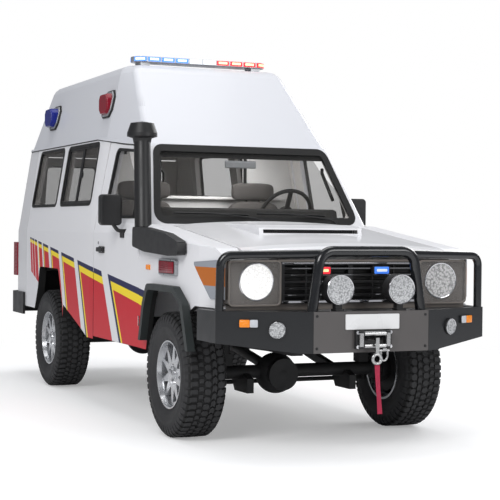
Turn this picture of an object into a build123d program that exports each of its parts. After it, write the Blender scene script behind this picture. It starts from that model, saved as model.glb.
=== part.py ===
"""High-roof 4x4 wagon ambulance with a bull bar, winch, snorkel and light bar.

Millimetres. +Z is up, the vehicle faces -Y and its right side is -X. Everything is drawn with
the front axle at y = 0 and the floor at z = 0, then moved so that the origin lies on the floor
under the middle of the whole vehicle. Each sub-part is written as one STEP file.
"""
import os
from functools import cache
from math import cos, radians, sin

from build123d import *

# Driving dimensions of the vehicle
WHEELBASE = 2900
FRONT_REACH = 1086
REAR_REACH = 1175
TYRE_RADIUS = 382
TYRE_WIDTH = 262
RIM_RADIUS = 222
FRONT_HALF_TRACK = 733
REAR_HALF_TRACK = 683
KINGPIN_X = 588
STEER_ARM = 180
WALL = 60
DOOR_THICKNESS = 52
PANEL_GAP = 8
SEAT_GAP = 0.3
GLASS_THICKNESS = 8
GLASS_INSET = 16

# Heights
SILL_Z = 480
FLOOR_Z = 700
FLOOR_THICKNESS = 40
BELT_Z = 1230
SHOULDER_Z = 1300
GUTTER_Z = 1905
ROOF_Z = 2432

# Lengths, from the front axle
COWL_Y = 445
DOOR_FRONT_Y = 560
DOOR_REAR_Y = 1540
CORNER_SEAM_Y = 3560
BODY_REAR_Y = 3985
FENDER_FRONT_Y = -735

# Front sheet metal
HOOD_HALF_WIDTH = 662
FENDER_HALF_WIDTH = 845
FENDER_WALL = 30
HOOD_REAR_Z = 1288
HOOD_FRONT_Z = 1150
HOOD_THICKNESS = 28
HOOD_CROWN = 30
HOOD_HINGE_X = HOOD_HALF_WIDTH - 87

# Rear opening
REAR_DOOR_HALF = 655
REAR_DOOR_LOW_Z = 640
TAIL_LOW_Z = 600
REAR_DOOR_TOP_Z = 1862

# Frame rails
RAIL_X = 400
RAIL_WIDTH = 70

# Bull bar
BAR_FRONT_Y = -1016
BAR_CENTRE_HALF = 368
BAR_LOW_Z = 583
BAR_TOP_Z = 814
BAR_END_X = 866
BAR_KNEE_Y = -806
CENTRE_TUBE_RADIUS = 30
OUTER_TUBE_RADIUS = 24

REAR_AXLE_Y = WHEELBASE
ORIGIN_SHIFT_Y = (FRONT_REACH - WHEELBASE - REAR_REACH) / 2
SIDES = (("right", -1), ("left", 1))


def export(node, shape):
    """Move a sub-part from the front axle's frame to the vehicle's own and write it."""
    solids = shape.solids() if hasattr(shape, "solids") else [shape]
    moved = [Pos(0, ORIGIN_SHIFT_Y, 0) * solid for solid in solids]
    part = moved[0] if len(moved) == 1 else Compound(children=moved)
    export_step(part, f"parts/{node}.step")


def block(x_low, x_high, y_low, y_high, z_low, z_high):
    """A rectangular block from its limits."""
    centre = ((x_low + x_high) / 2, (y_low + y_high) / 2, (z_low + z_high) / 2)
    return Pos(*centre) * Box(x_high - x_low, y_high - y_low, z_high - z_low)


def outline_face(outline, radius):
    """A flat face from a closed outline, with its corners rounded."""
    face = Polygon(*outline, align=None)
    return fillet(face.vertices(), radius) if radius else face


def side_prism(outline, x_low, x_high, radius=0):
    """A (y, z) outline carried across the vehicle."""
    face = Plane.YZ.offset(x_low) * outline_face(outline, radius)
    return extrude(face, amount=x_high - x_low, dir=(1, 0, 0))


def front_prism(outline, y_low, y_high, radius=0):
    """An (x, z) outline carried along the vehicle."""
    face = Plane.XZ.offset(-y_low) * outline_face(outline, radius)
    return extrude(face, amount=y_high - y_low, dir=(0, 1, 0))


def plan_prism(outline, z_low, z_high, radius=0):
    """An (x, y) outline carried upwards."""
    face = Plane.XY.offset(z_low) * outline_face(outline, radius)
    return extrude(face, amount=z_high - z_low, dir=(0, 0, 1))


def rod(start, end, radius):
    """A round bar between two points."""
    axis = Vector(*end) - Vector(*start)
    return Solid.make_cylinder(radius, axis.length, Plane(origin=start, z_dir=axis))


def bent_tube(points, bend, radius):
    """A round bar along straight runs joined by bends."""
    path = FilletPolyline(*points, radius=bend)
    return sweep(Plane(origin=path @ 0, z_dir=path % 0) * Circle(radius), path=path)


def both_sides(shape):
    """A piece and its mirror image about the vehicle's middle plane."""
    return shape + mirror(shape, about=Plane.YZ)


def on_side(shape, side):
    """A piece drawn on the left, moved to the side asked for."""
    return shape if side > 0 else mirror(shape, about=Plane.YZ)


# The body's plan outlines, from the sill to the gutter
BODY_LEVELS = (
    # z, front y, front half, middle half, rear half, rear y, front corner, rear corner
    (SILL_Z, 500, 842, 845, 802, BODY_REAR_Y, 30, 130),
    (BELT_Z, 512, 840, 844, 800, BODY_REAR_Y, 30, 130),
    (SHOULDER_Z, 552, 792, 834, 788, BODY_REAR_Y - 5, 30, 130),
    (GUTTER_Z, 943, 658, 728, 700, BODY_REAR_Y - 55, 40, 120),
)
ROOF_FOOT = (1800, 884, 682, 742, 716, BODY_REAR_Y + 5, 60, 130)
ROOF_TOP = (ROOF_Z, 1522, 570, 606, 572, 3610, 60, 110)
ROOF_ROUND = 60
ROOF_PANEL_RISE = 6
BODY_MIDDLE_Y = 1650


def roof_level(turn_degrees):
    """One plan outline of the roof's rounded top edge, from its side (0) to its top (90)."""
    turn = radians(turn_degrees)
    z = ROOF_Z - ROOF_ROUND * (1 - sin(turn))
    tuck = ROOF_ROUND * (1 - cos(turn))
    share = (z - ROOF_FOOT[0]) / (ROOF_TOP[0] - ROOF_FOOT[0])
    foot_to_top = [low + (high - low) * share for low, high in zip(ROOF_FOOT, ROOF_TOP)]
    _, front, half_front, half_middle, half_rear, rear, front_round, rear_round = foot_to_top
    return (z, front + tuck, half_front - tuck, half_middle - tuck, half_rear - tuck, rear - tuck,
            max(front_round - tuck, 20), max(rear_round - tuck, 20))


ROOF_LEVELS = (ROOF_FOOT, *(roof_level(turn) for turn in (0, 30, 60, 90)))


def plan_wire(level, inset, stretch):
    """One plan outline: front edge, two straight runs down each side, rounded corners."""
    z, front, half_front, half_middle, half_rear, rear, front_round, rear_round = level
    front, rear = front + inset - stretch, rear - inset + stretch
    half_front, half_middle, half_rear = (h - inset for h in (half_front, half_middle, half_rear))
    front_round, rear_round = max(front_round - inset, 12), max(rear_round - inset, 12)
    turn = cos(radians(45))

    def half_outline(side):
        """The corner points of one side, from the front to the rear."""
        return [
            (side * (half_front - front_round), front, z),
            (side * (half_front - front_round * (1 - turn)), front + front_round * (1 - turn), z),
            (side * half_front, front + front_round, z),
            (side * half_middle, BODY_MIDDLE_Y, z),
            (side * half_rear, rear - rear_round, z),
            (side * (half_rear - rear_round * (1 - turn)), rear - rear_round * (1 - turn), z),
            (side * (half_rear - rear_round), rear, z),
        ]

    left = [Vector(*p) for p in half_outline(1)]
    right = [Vector(*p) for p in half_outline(-1)]
    edges = [Edge.make_line(right[0], left[0])]
    for points in (left, right[::-1]):
        edges += [
            Edge.make_three_point_arc(*points[:3]),
            Edge.make_line(points[2], points[3]),
            Edge.make_line(points[3], points[4]),
            Edge.make_three_point_arc(*points[4:]),
        ]
    edges.insert(5, Edge.make_line(left[6], right[6]))
    return Wire(edges)


@cache
def envelope(levels, inset=0, stretch=0):
    """The closed form of the body or the roof, drawn in by a wall and stretched lengthwise."""
    return Solid.make_loft([plan_wire(level, inset, stretch) for level in levels], ruled=True)


def body_skin(depth, wall):
    """A skin of the body's form that starts at a depth under the surface."""
    return envelope(BODY_LEVELS, depth) - envelope(BODY_LEVELS, depth + wall)


def side_skin(depth, wall):
    """The same skin without its front and rear walls."""
    return envelope(BODY_LEVELS, depth) - envelope(BODY_LEVELS, depth + wall, 200)


GUTTER_LINE = ((700, 1806), (1250, 1848), (1830, GUTTER_Z), (4200, GUTTER_Z))
ABOVE_GUTTER = side_prism([*GUTTER_LINE, (4200, 2800), (700, 2800)], -1000, 1000)
DOOR_SLOPE = ((612, SHOULDER_Z - 15), (966, 1815))
DOOR_OUTLINE = (
    (DOOR_FRONT_Y, 500), (DOOR_FRONT_Y, BELT_Z + 20), *DOOR_SLOPE,
    (1250, 1836), (DOOR_REAR_Y - 12, 1866), (DOOR_REAR_Y, SHOULDER_Z - 40), (DOOR_REAR_Y, 500),
)
DOOR_WINDOW = ((690, 1338), (986, 1786), (1250, 1806), (1384, 1816), (1396, 1338))
FRONT_WINDOW = ((1744, 1434), (1772, 1876), (2586, 1876), (2592, 1434))
REAR_WINDOW = ((2726, 1434), (2720, 1876), (3446, 1876), (3508, 1434))
WINDSCREEN = ((-706, 1330), (706, 1330), (610, 1796), (-610, 1796))
REAR_WINDOW_PANE = ((90, 1330), (560, 1330), (540, 1790), (90, 1790))
WINDOW_ROUND = 45
SIDE_SKIRT = ((1690, 300), (1700, SILL_Z), (1850, 530), (2360, 676), (2430, 300))
REAR_ARCH = ((2330, 300), (2395, 690), (2520, 944), (3110, 944), (3165, 770), (3265, 600), (3290, 300))
FRONT_ARCH = ((-444, 300), (-428, 500), (-304, 812), (-172, 887), (266, 887), (326, 784), (412, 500), (430, 300))
REAR_ARCH_ROUND = 45
FRONT_ARCH_ROUND = 50


def side_window(outline):
    """A window's prism through both sides of the body."""
    return side_prism(outline, -1000, 1000, WINDOW_ROUND)


TRANSFER_LOW_Z = 480


def chassis_frame():
    """Two box rails with a kick over each axle, and the cross members between them."""
    rail_top = ((-880, 690), (-560, 690), (420, 664), (2300, 664), (2560, 690), (3900, 690))
    outline = [*rail_top, *[(y, z - 130) for y, z in reversed(rail_top)]]
    rail = side_prism(outline, RAIL_X - RAIL_WIDTH / 2, RAIL_X + RAIL_WIDTH / 2)
    for y in (640, 1500, 2200):
        rail += block(RAIL_X - 30, RAIL_X + 30, y - 35, y + 35, 650, FLOOR_Z)
    for y in (2700, 3300, 3860):
        rail += block(RAIL_X - 30, RAIL_X + 30, y - 35, y + 35, 680, FLOOR_Z)
    frame = both_sides(rail)
    cross_members = (
        # y, low z, high z, half length along the vehicle
        (-745, 590, 660, 35), (-525, 575, 640, 35), (1420, 602, 655, 45), (2250, 550, 640, 35),
        (3560, 585, 665, 35), (3860, 585, 665, 40),
    )
    for y, low, high, half in cross_members:
        frame += block(-RAIL_X, RAIL_X, y - half, y + half, low, high)
    cradle = block(-RAIL_X, RAIL_X, 1060, 1140, 445, TRANSFER_LOW_Z - SEAT_GAP)
    drop = block(RAIL_X - 34, RAIL_X + 34, 1060, 1140, 445, 560)
    return frame + cradle + both_sides(drop)


def engine_block():
    """The engine as one plain block, with a mount out to each rail."""
    mount = block(260, RAIL_X - RAIL_WIDTH / 2 - SEAT_GAP, -60, 40, 585, 640)
    return block(-270, 270, -480, 380, 560, 1020) + both_sides(mount)


NOSE_REACH = 145


def drivetrain():
    """Gearbox, transfer case and both propeller shafts, seen from below."""
    gearbox = block(-150, 150, 390, 960, 520, 690)
    transfer = block(-210, 130, 960, 1240, TRANSFER_LOW_Z, 690)
    nose = NOSE_REACH + 9
    front_shaft = rod((-130, nose, 402), (-150, 965, 540), 32)
    front_shaft += rod((-130, NOSE_REACH + SEAT_GAP, TYRE_RADIUS + 15), (-130, nose + 14, TYRE_RADIUS + 15), 44)
    rear_shaft = rod((0, 1235, 560), (0, REAR_AXLE_Y - nose, TYRE_RADIUS + 20), 36)
    rear_shaft += rod((0, REAR_AXLE_Y - NOSE_REACH - SEAT_GAP, TYRE_RADIUS + 15),
                      (0, REAR_AXLE_Y - nose - 14, TYRE_RADIUS + 15), 44)
    return gearbox + transfer + front_shaft + rear_shaft


def axle_beam(y, tube_radius, half_length, crown_x, crown_radius):
    """A live axle: a tube with the crown wheel's round housing and its cover."""
    tube = rod((-half_length, y, TYRE_RADIUS), (half_length, y, TYRE_RADIUS), tube_radius)
    crown = Pos(crown_x, y, TYRE_RADIUS - 12) * Sphere(crown_radius)
    nose_side = 1 if y == 0 else -1
    nose_z = TYRE_RADIUS + 15
    nose = rod((crown_x, y, nose_z), (crown_x, y + nose_side * NOSE_REACH, nose_z), 58)
    cover = rod((crown_x, y, TYRE_RADIUS - 12), (crown_x, y - nose_side * 125, TYRE_RADIUS - 12), 98)
    return tube + crown + nose + cover


KNUCKLE_BALL = 74
KNUCKLE_SHELL = 96
SPINDLE_RADIUS = 34
HUB_DEPTH = 60
DUST_SHIELD_RADIUS = 150
TIE_ROD_Z = TYRE_RADIUS - 80
TIE_ROD_X = KINGPIN_X
BALL_STUD_RADIUS = 10


def front_axle():
    """The steered axle, ending in a ball with a trunnion pin through each knuckle."""
    beam = axle_beam(0, 42, KINGPIN_X - 40, -130, 128)
    for side in (-1, 1):
        beam += Pos(side * KINGPIN_X, 0, TYRE_RADIUS) * Sphere(KNUCKLE_BALL)
        beam += rod((side * KINGPIN_X, 0, TYRE_RADIUS - 92), (side * KINGPIN_X, 0, TYRE_RADIUS + 92), 14)
    return beam


def rear_axle():
    """The rear live axle, out to its brake back plates."""
    beam = axle_beam(REAR_AXLE_Y, 46, REAR_HALF_TRACK - 40, 0, 138)
    for side in (-1, 1):
        inner = side * (REAR_HALF_TRACK - 95)
        outer = side * (REAR_HALF_TRACK - 60)
        tip = side * (REAR_HALF_TRACK + HUB_DEPTH - 2)
        beam += rod((inner, REAR_AXLE_Y, TYRE_RADIUS), (outer, REAR_AXLE_Y, TYRE_RADIUS), DUST_SHIELD_RADIUS)
        beam += rod((inner, REAR_AXLE_Y, TYRE_RADIUS), (tip, REAR_AXLE_Y, TYRE_RADIUS), SPINDLE_RADIUS)
    return beam


def suspension():
    """Front radius arms, coils and rod, and rear leaf packs with their shackles."""
    arm_x = 352
    front_arm = side_prism(
        ((-120, 350), (-120, 262), (80, 262), (130, 337), (840, 480), (840, 530), (130, 392), (0, 392)),
        arm_x - 22, arm_x + 22) - rod((0, 0, TYRE_RADIUS), (900, 0, TYRE_RADIUS), 42)
    front_arm += block(arm_x - 22, RAIL_X + 30, 780, 860, 500, 534)
    coil = Pos(490, 0, 498) * Cylinder(50, 66, align=(Align.CENTER, Align.CENTER, Align.MIN))
    coil += block(438, 505, -38, 38, TYRE_RADIUS + 42 + SEAT_GAP, 500) + block(438, 540, -50, 50, 486, 500)
    coil += block(RAIL_X + RAIL_WIDTH / 2, 545, -60, 60, 562, 640)
    springs = both_sides(front_arm) + both_sides(coil)
    leaf_x = 460
    leaves = side_prism(
        ((REAR_AXLE_Y - 640, 560), (REAR_AXLE_Y - 640, 536), (REAR_AXLE_Y - 160, 440),
         (REAR_AXLE_Y + 160, 440), (REAR_AXLE_Y + 640, 536), (REAR_AXLE_Y + 640, 560),
         (REAR_AXLE_Y + 160, 492), (REAR_AXLE_Y - 160, 492)), leaf_x - 35, leaf_x + 35)
    leaves += block(leaf_x - 35, leaf_x + 35, REAR_AXLE_Y - 70, REAR_AXLE_Y + 70, 428, 450)
    for y in (REAR_AXLE_Y - 640, REAR_AXLE_Y + 640):
        leaves += rod((leaf_x - 35, y, 548), (leaf_x + 45, y, 548), 26)
        leaves += block(RAIL_X + RAIL_WIDTH / 2, leaf_x + 45, y - 26, y + 26, 548, 640)
    leaves -= block(0, RAIL_X + RAIL_WIDTH / 2, 2000, 4000, 530, 800)
    return springs + both_sides(leaves)


def fuel_tank():
    """The tank between the right rail and the sill, with its filler neck side plain."""
    outline = ((1150, 490), (1150, FLOOR_Z), (2150, FLOOR_Z), (2150, 456), (1220, 456))
    return side_prism(outline, -684, -440, 24)


def exhaust():
    """Down pipe, silencer and tail pipe along the left rail."""
    pipe = bent_tube([(225, 388, 590), (225, 860, 470), (560, 1060, 452), (560, 2200, 452)], 90, 26)
    pipe += block(190, 260, 380 + SEAT_GAP, 394, 555, 625)
    silencer = rod((560, 1400, 452), (560, 1950, 452), 86)
    hangers = block(550, 570, 1480, 1500, 530, FLOOR_Z) + block(550, 570, 1880, 1900, 530, FLOOR_Z)
    return pipe + silencer + hangers


def knuckle():
    """The left knuckle: an open ball cup with a spindle, a dust shield and the steering arm."""
    centre = (KINGPIN_X, 0, TYRE_RADIUS)
    cup = Pos(*centre) * Sphere(KNUCKLE_SHELL) - Pos(*centre) * Sphere(KNUCKLE_BALL + 6)
    cup &= block(KINGPIN_X - 4, KINGPIN_X + 120, -120, 120, TYRE_RADIUS - 120, TYRE_RADIUS + 120)
    for low in (TYRE_RADIUS - 100, TYRE_RADIUS + 80):
        cup += Pos(KINGPIN_X, 0, low) * Cylinder(30, 20, align=(Align.CENTER, Align.CENTER, Align.MIN))
    cup -= rod((KINGPIN_X, 0, TYRE_RADIUS - 93), (KINGPIN_X, 0, TYRE_RADIUS + 93), 14.3)
    tip = FRONT_HALF_TRACK + HUB_DEPTH - 2
    spindle = rod((KINGPIN_X + 82, 0, TYRE_RADIUS), (tip, 0, TYRE_RADIUS), SPINDLE_RADIUS)
    shield_x = KINGPIN_X + KNUCKLE_SHELL - 34
    shield = Pos(shield_x, 0, TYRE_RADIUS) * Rot(0, 90, 0) * extrude(
        Circle(DUST_SHIELD_RADIUS) - Circle(KNUCKLE_SHELL - 34), 6)
    arm = plan_prism(
        ((KINGPIN_X + 40, 40), (TIE_ROD_X - 20, STEER_ARM - 6), (TIE_ROD_X - 14, STEER_ARM + 18),
         (TIE_ROD_X + 14, STEER_ARM + 18), (KINGPIN_X + 74, 40)), TYRE_RADIUS - 62, TYRE_RADIUS - 38)
    arm -= block(0, shield_x + 2, -200, 70, 0, 600)
    arm -= rod((TIE_ROD_X, STEER_ARM, 300), (TIE_ROD_X, STEER_ARM, 360), BALL_STUD_RADIUS + SEAT_GAP)
    return cup + spindle + shield + arm


def tie_rod():
    """The bar that joins both steering arms, with a ball stud up into each."""
    bar = rod((-TIE_ROD_X, STEER_ARM, TIE_ROD_Z), (TIE_ROD_X, STEER_ARM, TIE_ROD_Z), 14)
    for side in (-1, 1):
        x = side * TIE_ROD_X
        bar += rod((x, STEER_ARM, TIE_ROD_Z - 17), (x, STEER_ARM, TIE_ROD_Z + 17), 20)
        bar += rod((x, STEER_ARM, TIE_ROD_Z), (x, STEER_ARM, TYRE_RADIUS - 36), BALL_STUD_RADIUS)
    return bar


def tyre(half_track, y):
    """The left tyre of an axle: tread face, shoulders, bulged side walls and beads."""
    half = TYRE_WIDTH / 2
    profile = (
        # distance from the wheel's middle plane, radius
        (-half + 26, RIM_RADIUS - 14), (half - 26, RIM_RADIUS - 14), (half - 12, RIM_RADIUS + 12),
        (half, 300), (half - 2, 330), (half - 16, 366), (half - 40, TYRE_RADIUS - 3),
        (0, TYRE_RADIUS), (-half + 40, TYRE_RADIUS - 3), (-half + 16, 366), (-half + 2, 330),
        (-half, 300), (-half + 12, RIM_RADIUS + 12),
    )
    face = Plane.XY * Polygon(*profile, align=None)
    return Pos(half_track, y, TYRE_RADIUS) * revolve(face, Axis.X, 360)


SPOKE_COUNT = 5
SPOKE_TILT = 22


def rim(half_track, y):
    """The left rim of an axle: barrel, dished lip, hub and five split spokes."""
    half = TYRE_WIDTH / 2 - 20
    outer_lip = RIM_RADIUS - 15
    barrel_profile = (
        (-half, outer_lip), (-half, outer_lip - 14), (20, outer_lip - 26), (half - 26, outer_lip - 16),
        (half, outer_lip - 8), (half, outer_lip),
    )
    barrel = revolve(Plane.XY * Polygon(*barrel_profile, align=None), Axis.X, 360)
    hub_profile = ((-22, 0), (-22, 60), (38, 74), (78, 70), (86, 46), (98, 42), (100, 0))
    hub = revolve(Plane.XY * Polygon(*hub_profile, align=None), Axis.X, 360)
    spoke = side_prism(((-44, 50), (-62, outer_lip - 12), (62, outer_lip - 12), (44, 50)), 44, 82)
    spoke -= side_prism(((0, 92), (-36, outer_lip - 40), (36, outer_lip - 40)), 30, 90)
    wheel = barrel + hub
    for index in range(SPOKE_COUNT):
        wheel += Rot(360 / SPOKE_COUNT * index + SPOKE_TILT, 0, 0) * spoke
    wheel -= rod((-30, 0, 0), (HUB_DEPTH, 0, 0), SPINDLE_RADIUS + SEAT_GAP)
    return Pos(half_track, y, TYRE_RADIUS) * wheel


def floor_pan():
    """The floor, its rear wheel boxes and the rocker boxes under the doors."""
    inner = envelope(BODY_LEVELS, WALL)
    slab = inner & block(-900, 900, DOOR_FRONT_Y - 4, 4200, FLOOR_Z, FLOOR_Z + FLOOR_THICKNESS)
    box_front, box_rear = REAR_AXLE_Y - 530, REAR_AXLE_Y + 530
    well = inner & block(495, 1000, box_front - 20, box_rear + 20, FLOOR_Z, 985)
    hollow = block(515, 1000, box_front, box_rear, 300, 955)
    floor = slab + both_sides(well) - both_sides(hollow)
    rocker = block(690, 768, DOOR_FRONT_Y - 4, 1700, 520, FLOOR_Z)
    floor += both_sides(rocker)
    return floor


def cab_front():
    """Firewall, scuttle, windscreen pillars and header as one welded frame."""
    ahead = side_prism(
        ((430, 1200), (DOOR_FRONT_Y - PANEL_GAP, 1200), (DOOR_FRONT_Y - PANEL_GAP, BELT_Z + 24),
         (602, SHOULDER_Z - 11), (956, 1822), (956, 1990), (430, 1990)), -1000, 1000)
    frame = (body_skin(0, WALL) & ahead) - ABOVE_GUTTER
    frame -= front_prism(WINDSCREEN, 300, 1200, 60)
    frame += block(-775, 775, 496, DOOR_FRONT_Y - 6, FLOOR_Z, 1215)
    reach = FENDER_HALF_WIDTH - FENDER_WALL - SEAT_GAP
    frame += block(-reach, reach, 496, DOOR_FRONT_Y - 20, FLOOR_Z, 1190)
    leaf_y = HOOD_HINGE[0] + HOOD_HINGE_RADIUS + SEAT_GAP
    frame += both_sides(block(HOOD_HINGE_X - 19, HOOD_HINGE_X + 19, leaf_y, 456, 1240, 1277))
    frame += block(-735, 735, COWL_Y + 4, 560, 1196, 1258)
    return frame


def windscreen():
    """The laminated glass, seated in the pillars and header."""
    pane = body_skin(GLASS_INSET, GLASS_THICKNESS) & front_prism(WINDSCREEN, 300, 1200, 60)
    return pane


def side_panel():
    """The left side wall behind the door, with two windows and the rear arch."""
    region = block(0, 1000, DOOR_REAR_Y + PANEL_GAP, CORNER_SEAM_Y, SILL_Z, GUTTER_Z)
    wall = (body_skin(0, WALL) & region) - ABOVE_GUTTER
    wall -= side_window(FRONT_WINDOW)
    wall -= side_window(REAR_WINDOW)
    wall -= side_prism(REAR_ARCH, 0, 1000, REAR_ARCH_ROUND)
    wall -= side_prism(SIDE_SKIRT, 0, 1000)
    wall -= block(0, 1000, REAR_ARCH[-1][0] - 200, 4200, 0, TAIL_LOW_Z)
    return wall


def rear_frame():
    """Rear corners, sill and header around the rear doors."""
    ring = body_skin(0, WALL) & block(-1000, 1000, CORNER_SEAM_Y, 4200, TAIL_LOW_Z, GUTTER_Z)
    half = REAR_DOOR_HALF + PANEL_GAP
    opening = front_prism(
        ((-half, REAR_DOOR_LOW_Z - PANEL_GAP), (half, REAR_DOOR_LOW_Z - PANEL_GAP),
         (half, 1300), (half - 14, REAR_DOOR_TOP_Z + PANEL_GAP),
         (-half + 14, REAR_DOOR_TOP_Z + PANEL_GAP), (-half, 1300)), 3700, 4300)
    ring -= opening + both_sides(both_hinges(REAR_HINGE, REAR_HINGE_Z, REAR_HINGE_RADIUS + SEAT_GAP))
    leaf_x = REAR_HINGE[0] + REAR_HINGE_RADIUS + SEAT_GAP
    for low, high in REAR_HINGE_Z:
        ring += both_sides(block(leaf_x, leaf_x + 32, BODY_REAR_Y - 58, REAR_HINGE[1] + 6, low, high))
    return ring


def side_glass():
    """The four panes of the load space's side windows."""
    panes = body_skin(GLASS_INSET, GLASS_THICKNESS)
    return (panes & side_window(FRONT_WINDOW)) + (panes & side_window(REAR_WINDOW))


def high_roof():
    """The raised moulded roof, hollow, with a raised panel on top and the gutter along its foot."""
    outer = envelope(ROOF_LEVELS)
    inner = envelope(ROOF_LEVELS, 40) & block(-1000, 1000, 0, 4200, 1700, ROOF_Z - 36)
    roof = (outer - inner) & ABOVE_GUTTER
    gutter = envelope(ROOF_LEVELS, -16) - envelope(ROOF_LEVELS, 20)
    strip = side_prism(
        [*GUTTER_LINE, (4200, GUTTER_Z + 16), (1830, GUTTER_Z + 16), (1250, 1864), (700, 1822)],
        -1000, 1000)
    panel = block(-460, 460, 1900, 3440, ROOF_Z - 5, ROOF_Z + ROOF_PANEL_RISE)
    return roof + (gutter & strip) + panel


FRONT_HINGE = (846, 556)
FRONT_HINGE_Z = ((640, 704), (1076, 1140))
FRONT_HINGE_RADIUS = 7
REAR_HINGE = (REAR_DOOR_HALF + 4, BODY_REAR_Y + 8)
REAR_HINGE_Z = ((720, 800), (1130, 1210), (1560, 1640))
REAR_HINGE_RADIUS = 10
HOOD_HINGE = (434, 1268)
HOOD_HINGE_RADIUS = 9


def both_hinges(place, heights, radius):
    """The upright barrels of one door's hinges."""
    barrels = [rod((*place, low), (*place, high), radius) for low, high in heights]
    return Part() + barrels


def door():
    """The left front door with its window opening."""
    panel = side_skin(0, DOOR_THICKNESS) & side_prism(DOOR_OUTLINE, 0, 1000)
    panel -= side_window(DOOR_WINDOW)
    handle = block(842, 866, 1300, 1420, 1100, 1128)
    return panel + handle + both_hinges(FRONT_HINGE, FRONT_HINGE_Z, FRONT_HINGE_RADIUS)


def door_glass():
    """The left door's pane."""
    return side_skin(GLASS_INSET, GLASS_THICKNESS) & side_prism(DOOR_WINDOW, 0, 1000, WINDOW_ROUND)


def mirror_head():
    """The left mirror: a rounded housing on a folded arm from the door."""
    housing = fillet(block(842, 992, 912, 968, 1282, 1488).edges().filter_by(Axis.Y), 26)
    housing = fillet(housing.edges().group_by(Axis.Y)[0], 14)
    arm = bent_tube([(806, 905, 1236), (872, 925, 1250), (905, 940, 1300)], 30, 13)
    foot = block(800, 850, 870, 940, 1200, 1258)
    return housing + arm + foot - envelope(BODY_LEVELS)


def rear_door():
    """The left rear door."""
    outline = ((PANEL_GAP / 2, REAR_DOOR_LOW_Z), (REAR_DOOR_HALF, REAR_DOOR_LOW_Z),
               (REAR_DOOR_HALF, 1300), (REAR_DOOR_HALF - 14, REAR_DOOR_TOP_Z),
               (PANEL_GAP / 2, REAR_DOOR_TOP_Z))
    panel = body_skin(0, DOOR_THICKNESS) & front_prism(outline, 3700, 4300)
    panel -= front_prism(REAR_WINDOW_PANE, 3700, 4300, WINDOW_ROUND)
    for low, high in REAR_HINGE_Z:
        panel += block(REAR_HINGE[0] - 44, REAR_HINGE[0] - 9, BODY_REAR_Y - 50, REAR_HINGE[1] + 6, low, high)
    return panel + both_hinges(REAR_HINGE, REAR_HINGE_Z, REAR_HINGE_RADIUS)


def rear_glass():
    """The left rear door's pane."""
    pane = body_skin(GLASS_INSET, GLASS_THICKNESS)
    return pane & front_prism(REAR_WINDOW_PANE, 3700, 4300, WINDOW_ROUND)


def shoulder_z(y):
    """Height of the hood's side edge, falling from the cowl to the nose."""
    return HOOD_REAR_Z + (HOOD_FRONT_Z - HOOD_REAR_Z) * (COWL_Y - 25 - y) / (COWL_Y - 25 - FENDER_FRONT_Y)


def hood():
    """The lid over the engine: a crowned slab with a raised scoop."""
    def section(y, drop):
        """The hood's cross-section at one station, as a face across the vehicle."""
        z = shoulder_z(y) - drop
        crown = HOOD_CROWN
        low = z - HOOD_THICKNESS
        top = ThreePointArc((-HOOD_HALF_WIDTH, z), (0, z + crown), (HOOD_HALF_WIDTH, z))
        under = ThreePointArc((HOOD_HALF_WIDTH, low), (0, low + crown), (-HOOD_HALF_WIDTH, low))
        ends = (Line((HOOD_HALF_WIDTH, z), (HOOD_HALF_WIDTH, low)),
                Line((-HOOD_HALF_WIDTH, low), (-HOOD_HALF_WIDTH, z)))
        return Plane.XZ.offset(-y) * make_face([top, ends[0], under, ends[1]])

    rear = COWL_Y - 25
    stations = ((rear, 0), (-640, 0), (-712, 8), (-738, 22))
    lid = loft([section(y, drop) for y, drop in stations], ruled=True)
    scoop = side_prism(
        ((-230, shoulder_z(-230) + 8), (-215, shoulder_z(-215) + 64), (-120, shoulder_z(-120) + 72),
         (330, shoulder_z(330) + 26), (330, shoulder_z(330) + 8)), -350, 350)
    scoop = fillet(scoop.edges().filter_by(Axis.Y, tolerance=30).group_by(Axis.Z)[-1], 12)
    mouth = front_prism(
        ((-322, shoulder_z(-230) + 34), (322, shoulder_z(-230) + 34),
         (322, shoulder_z(-230) + 56), (-322, shoulder_z(-230) + 56)), -260, -150)
    y, z = HOOD_HINGE
    hinge = rod((HOOD_HINGE_X - 21, y, z), (HOOD_HINGE_X + 21, y, z), HOOD_HINGE_RADIUS)
    hinge += block(HOOD_HINGE_X - 15, HOOD_HINGE_X + 15, 404, y, z - 6, z + 9)
    return (lid + scoop + both_sides(hinge)) - mouth


def wing_solid():
    """The left wing's outer form as a closed solid."""
    rear = DOOR_FRONT_Y - PANEL_GAP
    outline = (
        (FENDER_FRONT_Y, 820), (FENDER_FRONT_Y, shoulder_z(FENDER_FRONT_Y) - 34),
        (-640, shoulder_z(-640) - 2), (COWL_Y, shoulder_z(COWL_Y) - 2), (rear, shoulder_z(rear) - 6),
        (rear, 500), (300, 500), (-400, 820),
    )
    solid = side_prism(outline, HOOD_HALF_WIDTH + 8, FENDER_HALF_WIDTH)
    top_edges = solid.edges().group_by(Axis.X)[-1].filter_by(lambda e: e.center().Z > 1080)
    solid = fillet(top_edges, 48)
    return solid & plan_prism(
        ((HOOD_HALF_WIDTH, -800), (HOOD_HALF_WIDTH, 600), (FENDER_HALF_WIDTH, 600),
         (FENDER_HALF_WIDTH, -150), (828, -450), (790, FENDER_FRONT_Y), (790, -800)), 300, 1500)


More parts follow.
